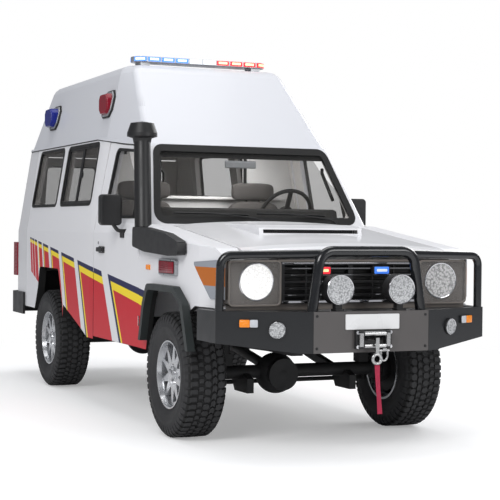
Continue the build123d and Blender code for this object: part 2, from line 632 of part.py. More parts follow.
def front_fenders():
    """Both wings: a side skin with the wheel arch, a rounded shoulder and a top shelf."""
    rear = DOOR_FRONT_Y - PANEL_GAP
    top = [(y, shoulder_z(y) - drop - FENDER_WALL)
           for y, drop in ((FENDER_FRONT_Y, 34), (-640, 2), (COWL_Y, 2), (rear, 6))]
    inner = side_prism([(-900, 300), (-900, top[0][1]), *top, (800, top[-1][1]), (800, 300)],
                       HOOD_HALF_WIDTH - 20, 1000)
    inner &= plan_prism(
        ((HOOD_HALF_WIDTH - 20, -900), (HOOD_HALF_WIDTH - 20, 900),
         (FENDER_HALF_WIDTH - FENDER_WALL, 900), (FENDER_HALF_WIDTH - FENDER_WALL, -150),
         (828 - FENDER_WALL, -450), (788 - FENDER_WALL, -900)), 200, 1500)
    wing = wing_solid() - inner
    wing -= side_prism(FRONT_ARCH, 600, 1000, FRONT_ARCH_ROUND)
    wing -= block(600, 745, COWL_Y - 15, 900, 900, 1500)
    wing -= block(600, 1000, 488, 900, 1195, 1500)
    wing -= block(600, 1000, -800, -686, 830, 1096)
    wing -= block(600, 776 + SEAT_GAP, -800, -703, 700, 1096)
    wing -= both_hinges(FRONT_HINGE, FRONT_HINGE_Z, FRONT_HINGE_RADIUS + SEAT_GAP)
    wing -= corner_lamp_body(grow=1)
    return both_sides(wing)


def corner_lamp_body(grow=0):
    """The left wrap-round lamp: a wedge that runs back along the wing."""
    outline = ((-690 - 60, 872 - grow), (-600, 872 - grow), (-390 + grow, 1060), (-390 + grow, 1076),
               (-690 - 60, 1098 + grow))
    wedge = side_prism(outline, 778, 900)
    skin = plan_prism(
        ((770, -760), (806 + grow, -720), (832 + grow, -450), (848 + grow, -150), (848, -100),
         (770, -100)), 800, 1200)
    return wedge & skin


HEADLAMP = (450, 772, 836, 1092)
HEADLAMP_BOWL = 98
HEADLAMP_CENTRE = (600, 978)


def headlamps():
    """Headlamps with a round bowl under a flat lens, and the corner lamps beside them."""
    x_low, x_high, z_low, z_high = HEADLAMP
    body = block(x_low, x_high, -752, -690, z_low, z_high)
    body = fillet(body.edges().filter_by(Axis.Y), 26)
    bowl = Pos(HEADLAMP_CENTRE[0], -690, HEADLAMP_CENTRE[1]) * Rot(90, 0, 0) * Sphere(HEADLAMP_BOWL)
    body += bowl & block(x_low, x_high, -690, -600, z_low, z_high)
    lamp = both_sides(body)
    corner = corner_lamp_body() - block(0, 790, -690, 0, 0, 2000)
    return lamp + both_sides(corner)


def nose_panel():
    """The painted panel that holds the lamps and the grille."""
    panel = block(-776, 776, FENDER_FRONT_Y, FENDER_FRONT_Y + 30, 800, 1096)
    x_low, x_high, z_low, z_high = HEADLAMP
    panel -= both_sides(block(x_low - SEAT_GAP, x_high + 20, -900, -600, z_low - SEAT_GAP, z_high + 20))
    panel -= block(-446, 446, -900, -600, 846, 1084)
    return panel


def grille():
    """The open radiator grille: a frame with slats and a middle bar."""
    frame = block(-446, 446, -756, -712, 846, 1084) - block(-424, 424, -800, -600, 866, 1066)
    for index in range(5):
        z = 888 + index * 38
        frame += side_prism(((-750, z), (-716, z + 6), (-716, z + 18), (-750, z + 12)), -430, 430)
    frame += block(-14, 14, -748, -716, 860, 1075)
    return frame


def arch_flares():
    """Black lips round the front arches and mudflaps behind all four wheels."""
    grown = ((-470, 500), (-342, 830), (-186, 924), (288, 924), (362, 800), (452, 500))
    lip = side_prism(grown, FENDER_HALF_WIDTH - 26, 892, FRONT_ARCH_ROUND)
    lip -= side_prism(FRONT_ARCH, 0, 1000, FRONT_ARCH_ROUND)
    lip -= wing_solid()
    lip -= block(0, FENDER_HALF_WIDTH, -700, 700, 0, 2000) + block(0, 1000, -700, 700, 0, 560)
    return both_sides(lip)


def mudflaps():
    """Rubber flaps behind the wheels."""
    front = side_prism(((442, 360), (442, 660), (450.3, 660), (454, 360)), 700,
                       FENDER_HALF_WIDTH - FENDER_WALL - SEAT_GAP)
    rear = block(556, 738, REAR_AXLE_Y + 522 - SEAT_GAP, REAR_AXLE_Y + 530 - SEAT_GAP, 300, 900)
    return both_sides(front) + both_sides(rear)


def bull_bar():
    """The folded channel across the nose with its wings and mounting legs."""
    depth = 250
    outer = (
        (-BAR_CENTRE_HALF, BAR_FRONT_Y), (BAR_CENTRE_HALF, BAR_FRONT_Y), (BAR_END_X, BAR_KNEE_Y),
        (BAR_END_X + 14, -560), (BAR_END_X - 40, -560), (BAR_END_X - 46, -765),
        (BAR_CENTRE_HALF - 20, -770), (-BAR_CENTRE_HALF + 20, -770), (-BAR_END_X + 46, -765),
        (-BAR_END_X + 40, -560), (-BAR_END_X - 14, -560), (-BAR_END_X, BAR_KNEE_Y),
    )
    channel = plan_prism(outer, BAR_LOW_Z, BAR_TOP_Z)
    trim = front_prism(((BAR_CENTRE_HALF, 500), (1000, 500), (1000, 652), (BAR_CENTRE_HALF, 575)), -1100, -500)
    channel -= both_sides(trim)
    hollow = plan_prism(
        ((-BAR_CENTRE_HALF + 6, BAR_FRONT_Y + 8), (BAR_CENTRE_HALF - 6, BAR_FRONT_Y + 8),
         (BAR_END_X - 60, BAR_KNEE_Y + 12), (BAR_END_X - 60, -700), (-BAR_END_X + 60, -700),
         (-BAR_END_X + 60, BAR_KNEE_Y + 12)), BAR_LOW_Z - 50, BAR_TOP_Z - 8)
    channel -= hollow
    channel -= block(-72, 72, BAR_FRONT_Y - 5, BAR_FRONT_Y + 20, 632, 680)
    leg = block(RAIL_X + RAIL_WIDTH / 2, RAIL_X + RAIL_WIDTH / 2 + 10, -978, -640, 585, 790)
    return channel + both_sides(leg) - both_sides(bar_lamp_bodies())


def bar_hoops():
    """Centre hoop and the two outer hoops over the lamps."""
    top = 1148
    low = BAR_TOP_Z - 20
    centre = bent_tube(
        [(-350, -955, low), (-296, -955, top), (296, -955, top), (350, -955, low)],
        85, CENTRE_TUBE_RADIUS)
    outer = bent_tube(
        [(838, -790, low), (834, -796, 1122), (290, -940, 1134)], 62, OUTER_TUBE_RADIUS)
    return (centre + both_sides(outer)) & block(-1000, 1000, -1100, -600, BAR_TOP_Z, 1300)


BAR_NORMAL = (0.389, -0.921)


def bar_lamp_bodies():
    """The left wing's round fog lamp and its indicator, square to the sloping face."""
    fog = rod(*[(552 + BAR_NORMAL[0] * reach, -939 + BAR_NORMAL[1] * reach, 712) for reach in (-40, 8)],
              48)
    indicator = Plane(origin=(698, -878, 748), z_dir=(*BAR_NORMAL, 0), x_dir=(-BAR_NORMAL[1], BAR_NORMAL[0], 0))
    return fog + indicator * Box(104, 44, 22)


def winch():
    """The winch drum in the bar, the roller fairlead on its face and the hook."""
    drum = rod((-160, -890, 660), (160, -890, 660), 52)
    cheeks = both_sides(block(160, 215, -960, -820, 600, BAR_TOP_Z - 8))
    plate = block(-112, 112, -1040, BAR_FRONT_Y, 604, 708) - block(-72, 72, -1100, -900, 632, 680)
    for x in (-84, 84):
        plate += rod((x, -1051, 606), (x, -1051, 706), 14)
    for z in (622, 690):
        plate += rod((-90, -1050, z), (90, -1050, z), 12)
    return drum + cheeks + plate


HOOK_TUBE = 9
HOOK_Y = HOOK_TUBE - FRONT_REACH


def tow_hook():
    """The forged hook on the end of the winch line."""
    line = rod((0, -942, 656), (0, HOOK_Y + 5, 656), 6)
    eye = block(-11, 11, HOOK_Y - 7, HOOK_Y + 8, 584, 668)
    shank = Plane(origin=(0, HOOK_Y, 550), z_dir=(0, 1, 0)) * Torus(26, HOOK_TUBE)
    return line + eye + shank


def hook_strap():
    """The webbing pull strap that hangs from the hook."""
    return block(-14, 18, HOOK_Y - 2, HOOK_Y + 2, 240, 550 - 26 - HOOK_TUBE - 0.3)


def driving_lamps():
    """Two round lamps between the hoop's legs, and the small lamps in the bar's wings."""
    lamps = []
    for side in (-1, 1):
        shell = rod((side * 195, -1000, 935), (side * 195, -930, 935), 86)
        foot = block(side * 195 - 20, side * 195 + 20, -985, -945, BAR_TOP_Z, 860)
        lamps.append(shell + foot)
    return lamps[0] + lamps[1] + both_sides(bar_lamp_bodies())


def snorkel():
    """The raised air intake: a moulded elbow on the wing, a riser and a round head."""
    base = Vector(-846, 478, 1262)
    top = Vector(-804, 632, 1836)
    riser = Solid.make_cylinder(54, (top - base).length, Plane(origin=base, z_dir=top - base))
    elbow = side_prism(
        ((532, 1150), (528, 1274), (330, 1272), (-70, 1238), (-285, 1192), (-292, 1112), (-120, 1104),
         (300, 1120)), -902, -FENDER_HALF_WIDTH, 22)
    head = Pos(*top) * revolve(
        Plane.XZ * Polygon((0, -20), (56, -20), (62, 10), (98, 22), (98, 44), (76, 108), (0, 120), align=None),
        Axis.Z, 360)
    riser -= on_side(wing_solid(), -1)
    return riser + elbow + head


def light_bar():
    """The roof's warning light bar on two feet."""
    bar = fillet(block(-518, 518, 1620, 1800, 2466, 2504).edges().filter_by(Axis.Z), 86)
    feet = both_sides(block(400, 470, 1650, 1770, ROOF_Z, 2466))
    return bar + feet


def warning_lamps():
    """Side lamps on the raised roof and flashers on the wings and grille."""
    lamps = None
    for y in (1770, 3265):
        lamp = block(600, 715, y - 125, y + 125, 2058, 2258)
        lamps = lamp if lamps is None else lamps + lamp
    lamps -= envelope(ROOF_LEVELS)
    lamps += block(FENDER_HALF_WIDTH, FENDER_HALF_WIDTH + 22, -160, 130, 984, 1082)
    return both_sides(lamps)


def dashboard():
    """The dashboard across the cab with the steering column and wheel."""
    shelf = side_prism(((580, 1010), (640, 1290), (720, 1312), (880, 1262), (905, 1080), (800, 1010)),
                       -715, 715, 20)
    shelf += block(-715, 715, DOOR_FRONT_Y - 6, 640, 1030, 1180)
    shelf += side_prism(((690, 1295), (716, 1392), (770, 1406), (846, 1392), (878, 1240)), -650, 650, 18)
    centre = Vector(385, 985, 1372)
    axis = Vector(0, 0.86, 0.5)
    rim_ring = Plane(origin=centre, z_dir=axis) * Torus(188, 14)
    column = rod((385, 790, 1250), (385, 985, 1372), 26)
    hub = Solid.make_cylinder(60, 26, Plane(origin=centre - axis.normalized() * 13, z_dir=axis))
    spokes = Plane(origin=centre, z_dir=axis) * (Box(370, 30, 14) + Box(30, 370, 14))
    return shelf + column + hub + rim_ring + spokes


def seats():
    """The driver's and the passenger's seats on their boxes."""
    seats_made = Part()
    for centre, rest_half in ((335, 164), (-505, 192)):
        seat = block(-225, 225, 1010, 1440, 900, 1010)
        seat += block(-185, 185, 1040, 1400, FLOOR_Z + FLOOR_THICKNESS, 900)
        seat += side_prism(((1390, 960), (1500, 1460), (1420, 1460), (1290, 1010)), -215, 215, 20)
        seat += block(-rest_half, rest_half, 1410, 1490, 1472, 1600)
        seat += block(-55, 55, 1440, 1460, 1440, 1480)
        seats_made += Pos(centre, 0, 0) * seat
    return seats_made


def partition():
    """The light wall behind the seats with a pass-through window."""
    inner = envelope(BODY_LEVELS, WALL)
    wall = inner & block(-900, 900, 1600, 1630, FLOOR_Z + FLOOR_THICKNESS, 1880)
    return wall - block(-330, 330, 1500, 1700, 1500, 1800)


def tail_lamps():
    """The rear lamp clusters that wrap round the body's corners."""
    lamp = block(696, 808, 3880, 3998, 846, 1130) - envelope(BODY_LEVELS)
    return both_sides(lamp)


def rear_bumper():
    """The black rear bumper corners, step and tow bar."""
    rear_y = WHEELBASE + REAR_REACH
    step = block(-560, 560, BODY_REAR_Y, rear_y, 520, 598)
    for side in (-1, 1):
        low, high = sorted((side * (RAIL_X - 30), side * (RAIL_X + 30)))
        step += block(low, high, 3900, BODY_REAR_Y + 10, 560, 590)
    corner = plan_prism(
        ((556, rear_y), (710, rear_y), (822, 3965), (826, 3600), (740, 3600), (742, BODY_REAR_Y - 60),
         (660, BODY_REAR_Y), (556, BODY_REAR_Y)), 530, 712)
    corner -= block(0, REAR_DOOR_HALF + 20, 3700, 4300, 590, 800)
    corner -= envelope(BODY_LEVELS)
    return step + both_sides(corner)


def save_all():
    """Build and write every sub-part."""
    os.makedirs("parts", exist_ok=True)
    plain = {
        "chassis_frame": chassis_frame, "engine_block": engine_block, "drivetrain": drivetrain,
        "front_axle": front_axle, "rear_axle": rear_axle, "suspension": suspension,
        "fuel_tank": fuel_tank, "exhaust": exhaust, "tie_rod": tie_rod, "floor_pan": floor_pan,
        "cab_front": cab_front, "windscreen": windscreen, "rear_frame": rear_frame,
        "side_glass": side_glass, "high_roof": high_roof, "hood": hood,
        "front_fenders": front_fenders, "headlamps": headlamps, "nose_panel": nose_panel,
        "grille": grille, "arch_flares": arch_flares, "mudflaps": mudflaps,
        "bull_bar": bull_bar, "bar_hoops": bar_hoops, "winch": winch, "tow_hook": tow_hook,
        "hook_strap": hook_strap, "driving_lamps": driving_lamps, "snorkel": snorkel,
        "light_bar": light_bar, "warning_lamps": warning_lamps, "dashboard": dashboard,
        "seats": seats, "partition": partition, "rear_bumper": rear_bumper, "tail_lamps": tail_lamps,
    }
    for node, make in plain.items():
        export(node, make())
    for name, side in SIDES:
        export(f"knuckle_{name}", on_side(knuckle(), side))
        export(f"side_panel_{name}", on_side(side_panel(), side))
        export(f"door_{name}", on_side(door(), side))
        export(f"door_glass_{name}", on_side(door_glass(), side))
        export(f"mirror_{name}", on_side(mirror_head(), side))
        export(f"rear_door_{name}", on_side(rear_door(), side))
        export(f"rear_glass_{name}", on_side(rear_glass(), side))
        for end, half_track, y in (("front", FRONT_HALF_TRACK, 0), ("rear", REAR_HALF_TRACK, REAR_AXLE_Y)):
            export(f"tyre_{end}_{name}", on_side(tyre(half_track, y), side))
            export(f"rim_{end}_{name}", on_side(rim(half_track, y), side))


if __name__ == "__main__":
    save_all()
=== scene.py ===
"""Looks of a high-roof four-wheel-drive ambulance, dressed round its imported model.

Metres. The vehicle faces -Y and its right side is -X. Places are given from the front axle along Y
and moved to the model's own frame by `spot`.
"""

import logging
from collections.abc import Callable, Iterable, Sequence
from dataclasses import dataclass
from enum import Enum
from functools import cache
from math import acos, cos, hypot, pi, radians, sin, tau

import bmesh
import bpy
from mathutils import Matrix, Vector


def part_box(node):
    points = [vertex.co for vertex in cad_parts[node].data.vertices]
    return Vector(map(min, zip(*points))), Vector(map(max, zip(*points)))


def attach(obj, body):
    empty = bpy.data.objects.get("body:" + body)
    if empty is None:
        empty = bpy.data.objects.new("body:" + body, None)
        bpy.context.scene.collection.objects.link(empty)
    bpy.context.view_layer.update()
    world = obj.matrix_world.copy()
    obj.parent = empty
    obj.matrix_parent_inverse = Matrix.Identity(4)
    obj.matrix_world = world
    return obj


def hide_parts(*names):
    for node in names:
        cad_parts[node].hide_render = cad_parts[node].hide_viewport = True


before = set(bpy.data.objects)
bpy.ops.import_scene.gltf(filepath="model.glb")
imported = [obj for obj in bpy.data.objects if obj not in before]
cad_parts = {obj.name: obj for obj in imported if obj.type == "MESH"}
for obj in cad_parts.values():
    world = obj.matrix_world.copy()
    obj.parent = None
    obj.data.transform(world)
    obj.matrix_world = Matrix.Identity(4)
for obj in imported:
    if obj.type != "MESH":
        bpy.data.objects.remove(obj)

LOG = logging.getLogger("ambulance")
Place = tuple[float, float, float]
Flat = tuple[float, float]
Colour = tuple[float, float, float]
Limits = tuple[float, float, float, float]
Level = tuple[float, float, float, float, float, float]
Socket = bpy.types.NodeSocket
SIDES: tuple[tuple[str, int], ...] = (("right", -1), ("left", 1))


def middle_of(node: str) -> Vector:
    """The middle of a CAD node's box at rest."""
    low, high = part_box(node)
    return (Vector(low) + Vector(high)) / 2


AXLE_Y: float = middle_of("tyre_front_left").y


def spot(x: float, y: float, z: float) -> Vector:
    """A place in the model's frame from one counted from the front axle."""
    return Vector((x, y + AXLE_Y, z))


class Grain(Enum):
    """The fine surface relief of a finish."""

    SMOOTH = "smooth"
    PAINT = "paint"
    MOULDED = "moulded"
    BRUSHED = "brushed"
    CAST = "cast"
    WOVEN = "woven"


class Graph:
    """A node tree while it is wired."""

    def __init__(self, tree: bpy.types.NodeTree) -> None:
        """Start from an empty tree."""
        self.tree = tree
        self.tree.nodes.clear()

    def add(self, kind: str, feeds: dict | None = None, **settings: object) -> bpy.types.Node:
        """Add one node.

        Args:
            kind: the node's type name.
            feeds: values or sockets for its inputs, by name or number.
            settings: attributes of the node itself.

        Returns:
            The node.
        """
        node = self.tree.nodes.new(kind)
        for name, value in settings.items():
            setattr(node, name, value)
        for key, value in (feeds or {}).items():
            if isinstance(value, Socket):
                self.tree.links.new(value, node.inputs[key])
            else:
                node.inputs[key].default_value = value
        return node

    def sum(self, operation: str, *values: object) -> Socket:
        """The result of one Math node on two or three values or sockets."""
        return self.add("ShaderNodeMath", dict(enumerate(values)), operation=operation).outputs[0]

    def blend(self, share: object, first: object, second: object) -> Socket:
        """A colour between two, by a share."""
        node = self.add("ShaderNodeMix", {0: share, 6: first, 7: second}, data_type="RGBA")
        return node.outputs[2]

    def place(self) -> Socket:
        """The point on the piece in its own coordinates."""
        return self.add("ShaderNodeTexCoord").outputs["Object"]

    def facing(self) -> Socket:
        """The way the surface faces in the piece's own coordinates."""
        return self.add("ShaderNodeTexCoord").outputs["Normal"]

    def sideways(self) -> Socket:
        """How far the surface faces the side that it is on: x of its facing times its x."""
        both = self.add("ShaderNodeVectorMath", {0: self.facing(), 1: self.place()}, operation="MULTIPLY")
        return self.add("ShaderNodeSeparateXYZ", {0: both.outputs[0]}).outputs[0]

    def noise(self, scale: float, detail: float = 3.0, place: object = None) -> Socket:
        """A noise over the piece."""
        feeds = {"Vector": place or self.place(), "Scale": scale, "Detail": detail}
        return self.add("ShaderNodeTexNoise", feeds).outputs[0]


def rgba(colour: Colour) -> tuple[float, float, float, float]:
    """A colour with full cover."""
    return (*colour, 1.0)


MOTTLE_SCALE = 7.0
WEAR_SCALE = 11.0
SMOOTH_WEAR = 0.01
ROUGH_WEAR = 0.06
LEAST_ROUGH = 0.02
COAT_ROUGH = 0.06


@dataclass(frozen=True)
class Finish:
    """A surface finish: its colour, gloss and fine relief."""

    name: str
    colour: Colour
    rough: float
    slot: str
    metal: float = 0.0
    coat: float = 0.0
    grain: Grain = Grain.MOULDED
    grain_size: float = 0.002
    relief: float = 0.15
    mottle: float = 0.08
    glow: float = 0.0
    glow_colour: Colour = (1.0, 1.0, 1.0)
    cover: float = 1.0
    gloss: float = 0.5

    def paint(self, graph: Graph) -> Socket:
        """The colour over the surface, faintly mottled."""
        darker = tuple(part * (1 - self.mottle) for part in self.colour)
        return graph.blend(graph.noise(MOTTLE_SCALE), rgba(darker), rgba(self.colour))

    def height(self, graph: Graph) -> Socket:
        """The fine relief's height over the surface.

        Args:
            graph: the tree being wired.

        Returns:
            The height socket.
        """
        place = graph.place()
        if self.grain is Grain.BRUSHED:
            turned = graph.add("ShaderNodeMapping", {"Vector": place, "Scale": (1.0, 1.0, 18.0)})
            return graph.noise(1 / self.grain_size, 2.0, turned.outputs[0])
        if self.grain is Grain.WOVEN:
            feeds = {"Vector": place, "Scale": 1 / self.grain_size, "Distortion": 1.2}
            across = graph.add("ShaderNodeTexWave", feeds, bands_direction="X").outputs[1]
            along = graph.add("ShaderNodeTexWave", feeds, bands_direction="Z").outputs[1]
            return graph.sum("ADD", across, along)
        if self.grain is Grain.CAST:
            cell = graph.add("ShaderNodeTexVoronoi", {"Vector": place, "Scale": 1 / self.grain_size})
            return graph.sum("ADD", cell.outputs["Distance"], graph.noise(0.4 / self.grain_size))
        return graph.noise(1 / self.grain_size, 4.0, place)

    @cache
    def material(self) -> bpy.types.Material:
        """The finish as a material, made once.

        Returns:
            The material.
        """
        made = bpy.data.materials.new(self.name)
        made.use_nodes = True
        graph = Graph(made.node_tree)
        reach = SMOOTH_WEAR if self.grain is Grain.SMOOTH else ROUGH_WEAR
        low, high = max(self.rough - reach, LEAST_ROUGH), min(self.rough + reach, 1.0)
        wear = graph.noise(WEAR_SCALE, 5.0)
        spread = graph.add("ShaderNodeMapRange", {0: wear, 1: 0.3, 2: 0.7, 3: low, 4: high})
        feeds = {
            "Base Color": self.paint(graph), "Metallic": self.metal, "Coat Weight": self.coat,
            "Coat Roughness": COAT_ROUGH, "Alpha": self.cover, "Specular IOR Level": self.gloss,
            "Roughness": spread.outputs[0],
        }
        if self.grain is not Grain.SMOOTH:
            feeds["Normal"] = graph.add("ShaderNodeBump", {
                "Height": self.height(graph), "Strength": self.relief, "Distance": self.grain_size / 3,
            }).outputs[0]
        if self.glow:
            feeds |= {"Emission Color": rgba(self.glow_colour), "Emission Strength": self.glow}
        shader = graph.add("ShaderNodeBsdfPrincipled", feeds)
        graph.add("ShaderNodeOutputMaterial", {0: shader.outputs[0]})
        return made


BODY_MIDDLE: Place = (0.0, 1.95 + AXLE_Y, 1.15)


@dataclass(frozen=True)
class BodyPaint(Finish):
    """Gloss paint outside and plain trim on the faces that look into the vehicle."""

    trim: Colour = (0.58, 0.56, 0.54)
    inward_limit: float = -0.02

    def outward(self, graph: Graph) -> Socket:
        """Tell the faces that look away from the vehicle's middle from those that look in.

        Args:
            graph: the tree being wired.

        Returns:
            A socket of 1 on the first and 0 on the others.
        """
        arm = graph.add("ShaderNodeVectorMath", {0: graph.place(), 1: BODY_MIDDLE}, operation="SUBTRACT")
        facing = graph.add("ShaderNodeVectorMath", {0: arm.outputs[0], 1: graph.facing()},
                           operation="DOT_PRODUCT")
        return graph.sum("GREATER_THAN", facing.outputs["Value"], self.inward_limit)

    def outer_paint(self, graph: Graph) -> Socket:
        """The colour of the painted outside."""
        return super().paint(graph)

    def paint(self, graph: Graph) -> Socket:
        """Paint outside, trim inside."""
        return graph.blend(self.outward(graph), rgba(self.trim), self.outer_paint(graph))


@dataclass(frozen=True)
class LiveryPaint(BodyPaint):
    """White paint with the slanting safety stripes along both sides.

    A stripe panel is a stretch of the top line, from front to rear. Each has a navy and a yellow
    band under its top edge and strips of both down its rear edge, and the rest of it is red.
    """

    red: Colour = (0.57, 0.004, 0.016)
    yellow: Colour = (0.93, 0.72, 0.012)
    navy: Colour = (0.006, 0.007, 0.070)
    top_at_axle: float = 0.8235
    top_rise: float = 0.1033
    slant_at_axle: float = 0.80
    slant_fall: float = 0.18
    low_line: Flat = (-0.345, 0.36)
    yellow_band: Flat = (-0.0245, 0.125)
    navy_band: Flat = (-0.0115, 0.055)
    slant_rounds: int = 3
    skin_x: float = 0.700
    # Painted shade: black on the faces low down that don't face outwards, at the panels' edges and gaps.
    edge: Colour = (0.02, 0.02, 0.02)
    gap_shade_x: float = 0.45
    gap_shade_z: float = 0.955
    gap_shade_front: float = -0.60
    span: Flat = (0.0, 3.6)
    panels: tuple[Limits, ...] = (
        # front, rear, yellow strip, navy strip
        (0.000, 1.219, 0.040, 0.038),
        (1.363, 1.959, 0.030, 0.028),
        (2.063, 2.429, 0.024, 0.020),
        (2.517, 2.760, 0.018, 0.014),
        (2.835, 3.005, 0.014, 0.012),
        (3.049, 3.164, 0.010, 0.008),
        (3.193, 3.282, 0.0, 0.0),
        (3.292, 3.367, 0.0, 0.0),
        (3.387, 3.442, 0.0, 0.0),
    )

    def strips(self, graph: Graph, along: Socket) -> bpy.types.Node:
        """The panels along the top line: red where painted, green and blue in the strips.

        Args:
            graph: the tree being wired.
            along: the distance behind the front axle, measured on the top line.

        Returns:
            A node whose three outputs mark the panel, its yellow strip and its navy strip.
        """
        low, high = self.span
        share = graph.add("ShaderNodeMapRange", {0: along, 1: low, 2: high, 3: 0.0, 4: 1.0})
        ramp_node = graph.add("ShaderNodeValToRGB", {0: share.outputs[0]})
        ramp = ramp_node.color_ramp
        ramp.interpolation = "CONSTANT"
        stops: list[tuple[float, Colour]] = []
        for front, rear, yellow, navy in self.panels:
            stops.append((front, (1.0, 0.0, 0.0)))
            if navy:
                stops.append((rear - navy - yellow, (1.0, 1.0, 0.0)))
                stops.append((rear - navy, (1.0, 0.0, 1.0)))
            stops.append((rear, (0.0, 0.0, 0.0)))
        ramp.elements[0].position = 0.0
        ramp.elements[0].color = rgba(stops[0][1])
        ramp.elements[1].position = (stops[1][0] - low) / (high - low)
        ramp.elements[1].color = rgba(stops[1][1])
        for where, colour in stops[2:]:
            ramp.elements.new((where - low) / (high - low)).color = rgba(colour)
        return graph.add("ShaderNodeSeparateColor", {0: ramp_node.outputs[0]})

    def outer_paint(self, graph: Graph) -> Socket:
        """White, with the stripes on the side walls.

        Args:
            graph: the tree being wired.

        Returns:
            The colour socket.
        """
        axes = graph.add("ShaderNodeSeparateXYZ", {0: graph.place()})
        behind = graph.sum("SUBTRACT", axes.outputs[1], AXLE_Y)
        height = axes.outputs[2]
        along = behind
        for _ in range(self.slant_rounds):
            slant = graph.sum("MULTIPLY_ADD", along, -self.slant_fall, self.slant_at_axle)
            top = graph.sum("MULTIPLY_ADD", along, self.top_rise, self.top_at_axle)
            drop = graph.sum("SUBTRACT", top, height)
            along = graph.sum("MULTIPLY_ADD", slant, drop, behind)
        top = graph.sum("MULTIPLY_ADD", along, self.top_rise, self.top_at_axle)
        depth = graph.sum("SUBTRACT", top, height)
        marks = self.strips(graph, along)
        fill: object = rgba(self.red)
        bands = ((self.yellow_band, self.yellow), (self.navy_band, self.navy))
        for index, (line, colour) in enumerate(bands, start=1):
            band = graph.sum("LESS_THAN", depth, graph.sum("MULTIPLY_ADD", along, *line))
            fill = graph.blend(graph.sum("MAXIMUM", band, marks.outputs[index]), fill, rgba(colour))
        offset, rise = self.low_line
        inside = graph.sum("MULTIPLY", marks.outputs[0], graph.sum("GREATER_THAN", depth, 0.0))
        low = graph.sum("GREATER_THAN", height, graph.sum("MULTIPLY_ADD", along, rise, offset))
        skin = graph.sum("GREATER_THAN", graph.sideways(), self.skin_x)
        inside = graph.sum("MULTIPLY", graph.sum("MULTIPLY", inside, low), skin)
        return graph.blend(inside, super().outer_paint(graph), fill)

    def paint(self, graph: Graph) -> Socket:
        """Paint outside, trim inside, and black painted shade low down on all faces that aren't the outer
        skin.

        Args:
            graph: the tree being wired.

        Returns:
            The colour socket.
        """
        axes = graph.add("ShaderNodeSeparateXYZ", {0: graph.place()})
        # Painted shade: black on faces below the height limit that don't face outwards, behind the front.
        edge = graph.sum("LESS_THAN", graph.sideways(), self.gap_shade_x)
        edge = graph.sum("MULTIPLY", edge, graph.sum("LESS_THAN", axes.outputs[2], self.gap_shade_z))
        front = self.gap_shade_front + AXLE_Y
        edge = graph.sum("MULTIPLY", edge, graph.sum("GREATER_THAN", axes.outputs[1], front))
        return graph.blend(edge, super().paint(graph), rgba(self.edge))


@dataclass(frozen=True)
class TwoTone(Finish):
    """A finish with a second colour inside one block of space."""

    second: Colour = (0.090, 0.083, 0.081)
    low: Place = (-0.366, -1.100, 0.0)
    high: Place = (0.366, -1.0, 2.0)

    def paint(self, graph: Graph) -> Socket:
        """The first colour, and the second inside the block.

        Args:
            graph: the tree being wired.

        Returns:
            The colour socket.
        """
        axes = graph.add("ShaderNodeSeparateXYZ", {0: graph.place()})
        inside: object = 1.0
        for axis, (low, high) in enumerate(zip(spot(*self.low), spot(*self.high))):
            above = graph.sum("GREATER_THAN", axes.outputs[axis], low)
            below = graph.sum("LESS_THAN", axes.outputs[axis], high)
            inside = graph.sum("MULTIPLY", inside, graph.sum("MULTIPLY", above, below))
        return graph.blend(inside, super().paint(graph), rgba(self.second))


@dataclass(frozen=True)
class TreadRubber(Finish):
    """Tyre rubber with painted shade, near black, low in the grooves between the tread's blocks."""

    # Painted shade: the near-black colour low in the grooves between the tread blocks.
    groove: Colour = (0.004, 0.004, 0.004)
    groove_shade_depths: Flat = (0.3715, 0.3765)
    middle_y: float = 1.45
    axle_z: float = 0.382
    side_wall: float = 0.362

    def paint(self, graph: Graph) -> Socket:
        """The rubber's grey on the blocks, and painted shade, near black, low between them.

        Args:
            graph: the tree being wired.

        Returns:
            The colour socket.
        """
        axes = graph.add("ShaderNodeSeparateXYZ", {0: graph.place()})
        along = graph.sum("ABSOLUTE", graph.sum("SUBTRACT", axes.outputs[1], self.middle_y + AXLE_Y))
        along = graph.sum("SUBTRACT", along, self.middle_y)
        up = graph.sum("SUBTRACT", axes.outputs[2], self.axle_z)
        reach = graph.sum("SQRT", graph.sum("MULTIPLY_ADD", along, along, graph.sum("MULTIPLY", up, up)))
        low, high = self.groove_shade_depths
        top = graph.add("ShaderNodeMapRange", {0: reach, 1: low, 2: high, 3: 1.0, 4: 0.0})
        tread = graph.sum("GREATER_THAN", reach, self.side_wall)
        share = graph.sum("MULTIPLY", top.outputs[0], tread)
        return graph.blend(share, super().paint(graph), rgba(self.groove))


@dataclass(frozen=True)
class Lens(Finish):
    """A clear or tinted lens with a grid of moulded flutes."""

    flute: float = 0.006
    facet_shade_strength: float = 0.0
    # Painted shade: the dark colour laid between a patterned lens's facets.
    facet_shade: Colour = (0.05, 0.05, 0.055)

    def paint(self, graph: Graph) -> Socket:
        """The lens's colour, with painted shade between its facets where it is patterned.

        Args:
            graph: the tree being wired.

        Returns:
            The colour socket.
        """
        plain = super().paint(graph)
        if not self.facet_shade_strength:
            return plain
        cell = graph.add("ShaderNodeTexVoronoi", {"Vector": graph.place(), "Scale": 1 / self.flute})
        facet_shade_share = graph.add("ShaderNodeMapRange", {0: cell.outputs["Distance"], 1: 0.35, 2: 0.75, 3: 0.0,
                                                4: self.facet_shade_strength})
        return graph.blend(facet_shade_share.outputs[0], plain, rgba(self.facet_shade))

    def height(self, graph: Graph) -> Socket:
        """Rounded flutes across the lens and up it.

        Args:
            graph: the tree being wired.

        Returns:
            The height socket.
        """
        feeds = {"Vector": graph.place(), "Scale": 1 / self.flute / pi}
        across = graph.add("ShaderNodeTexWave", feeds, bands_direction="X").outputs[1]
        return graph.sum("ADD", across, graph.add("ShaderNodeTexWave", feeds, bands_direction="Z").outputs[1])


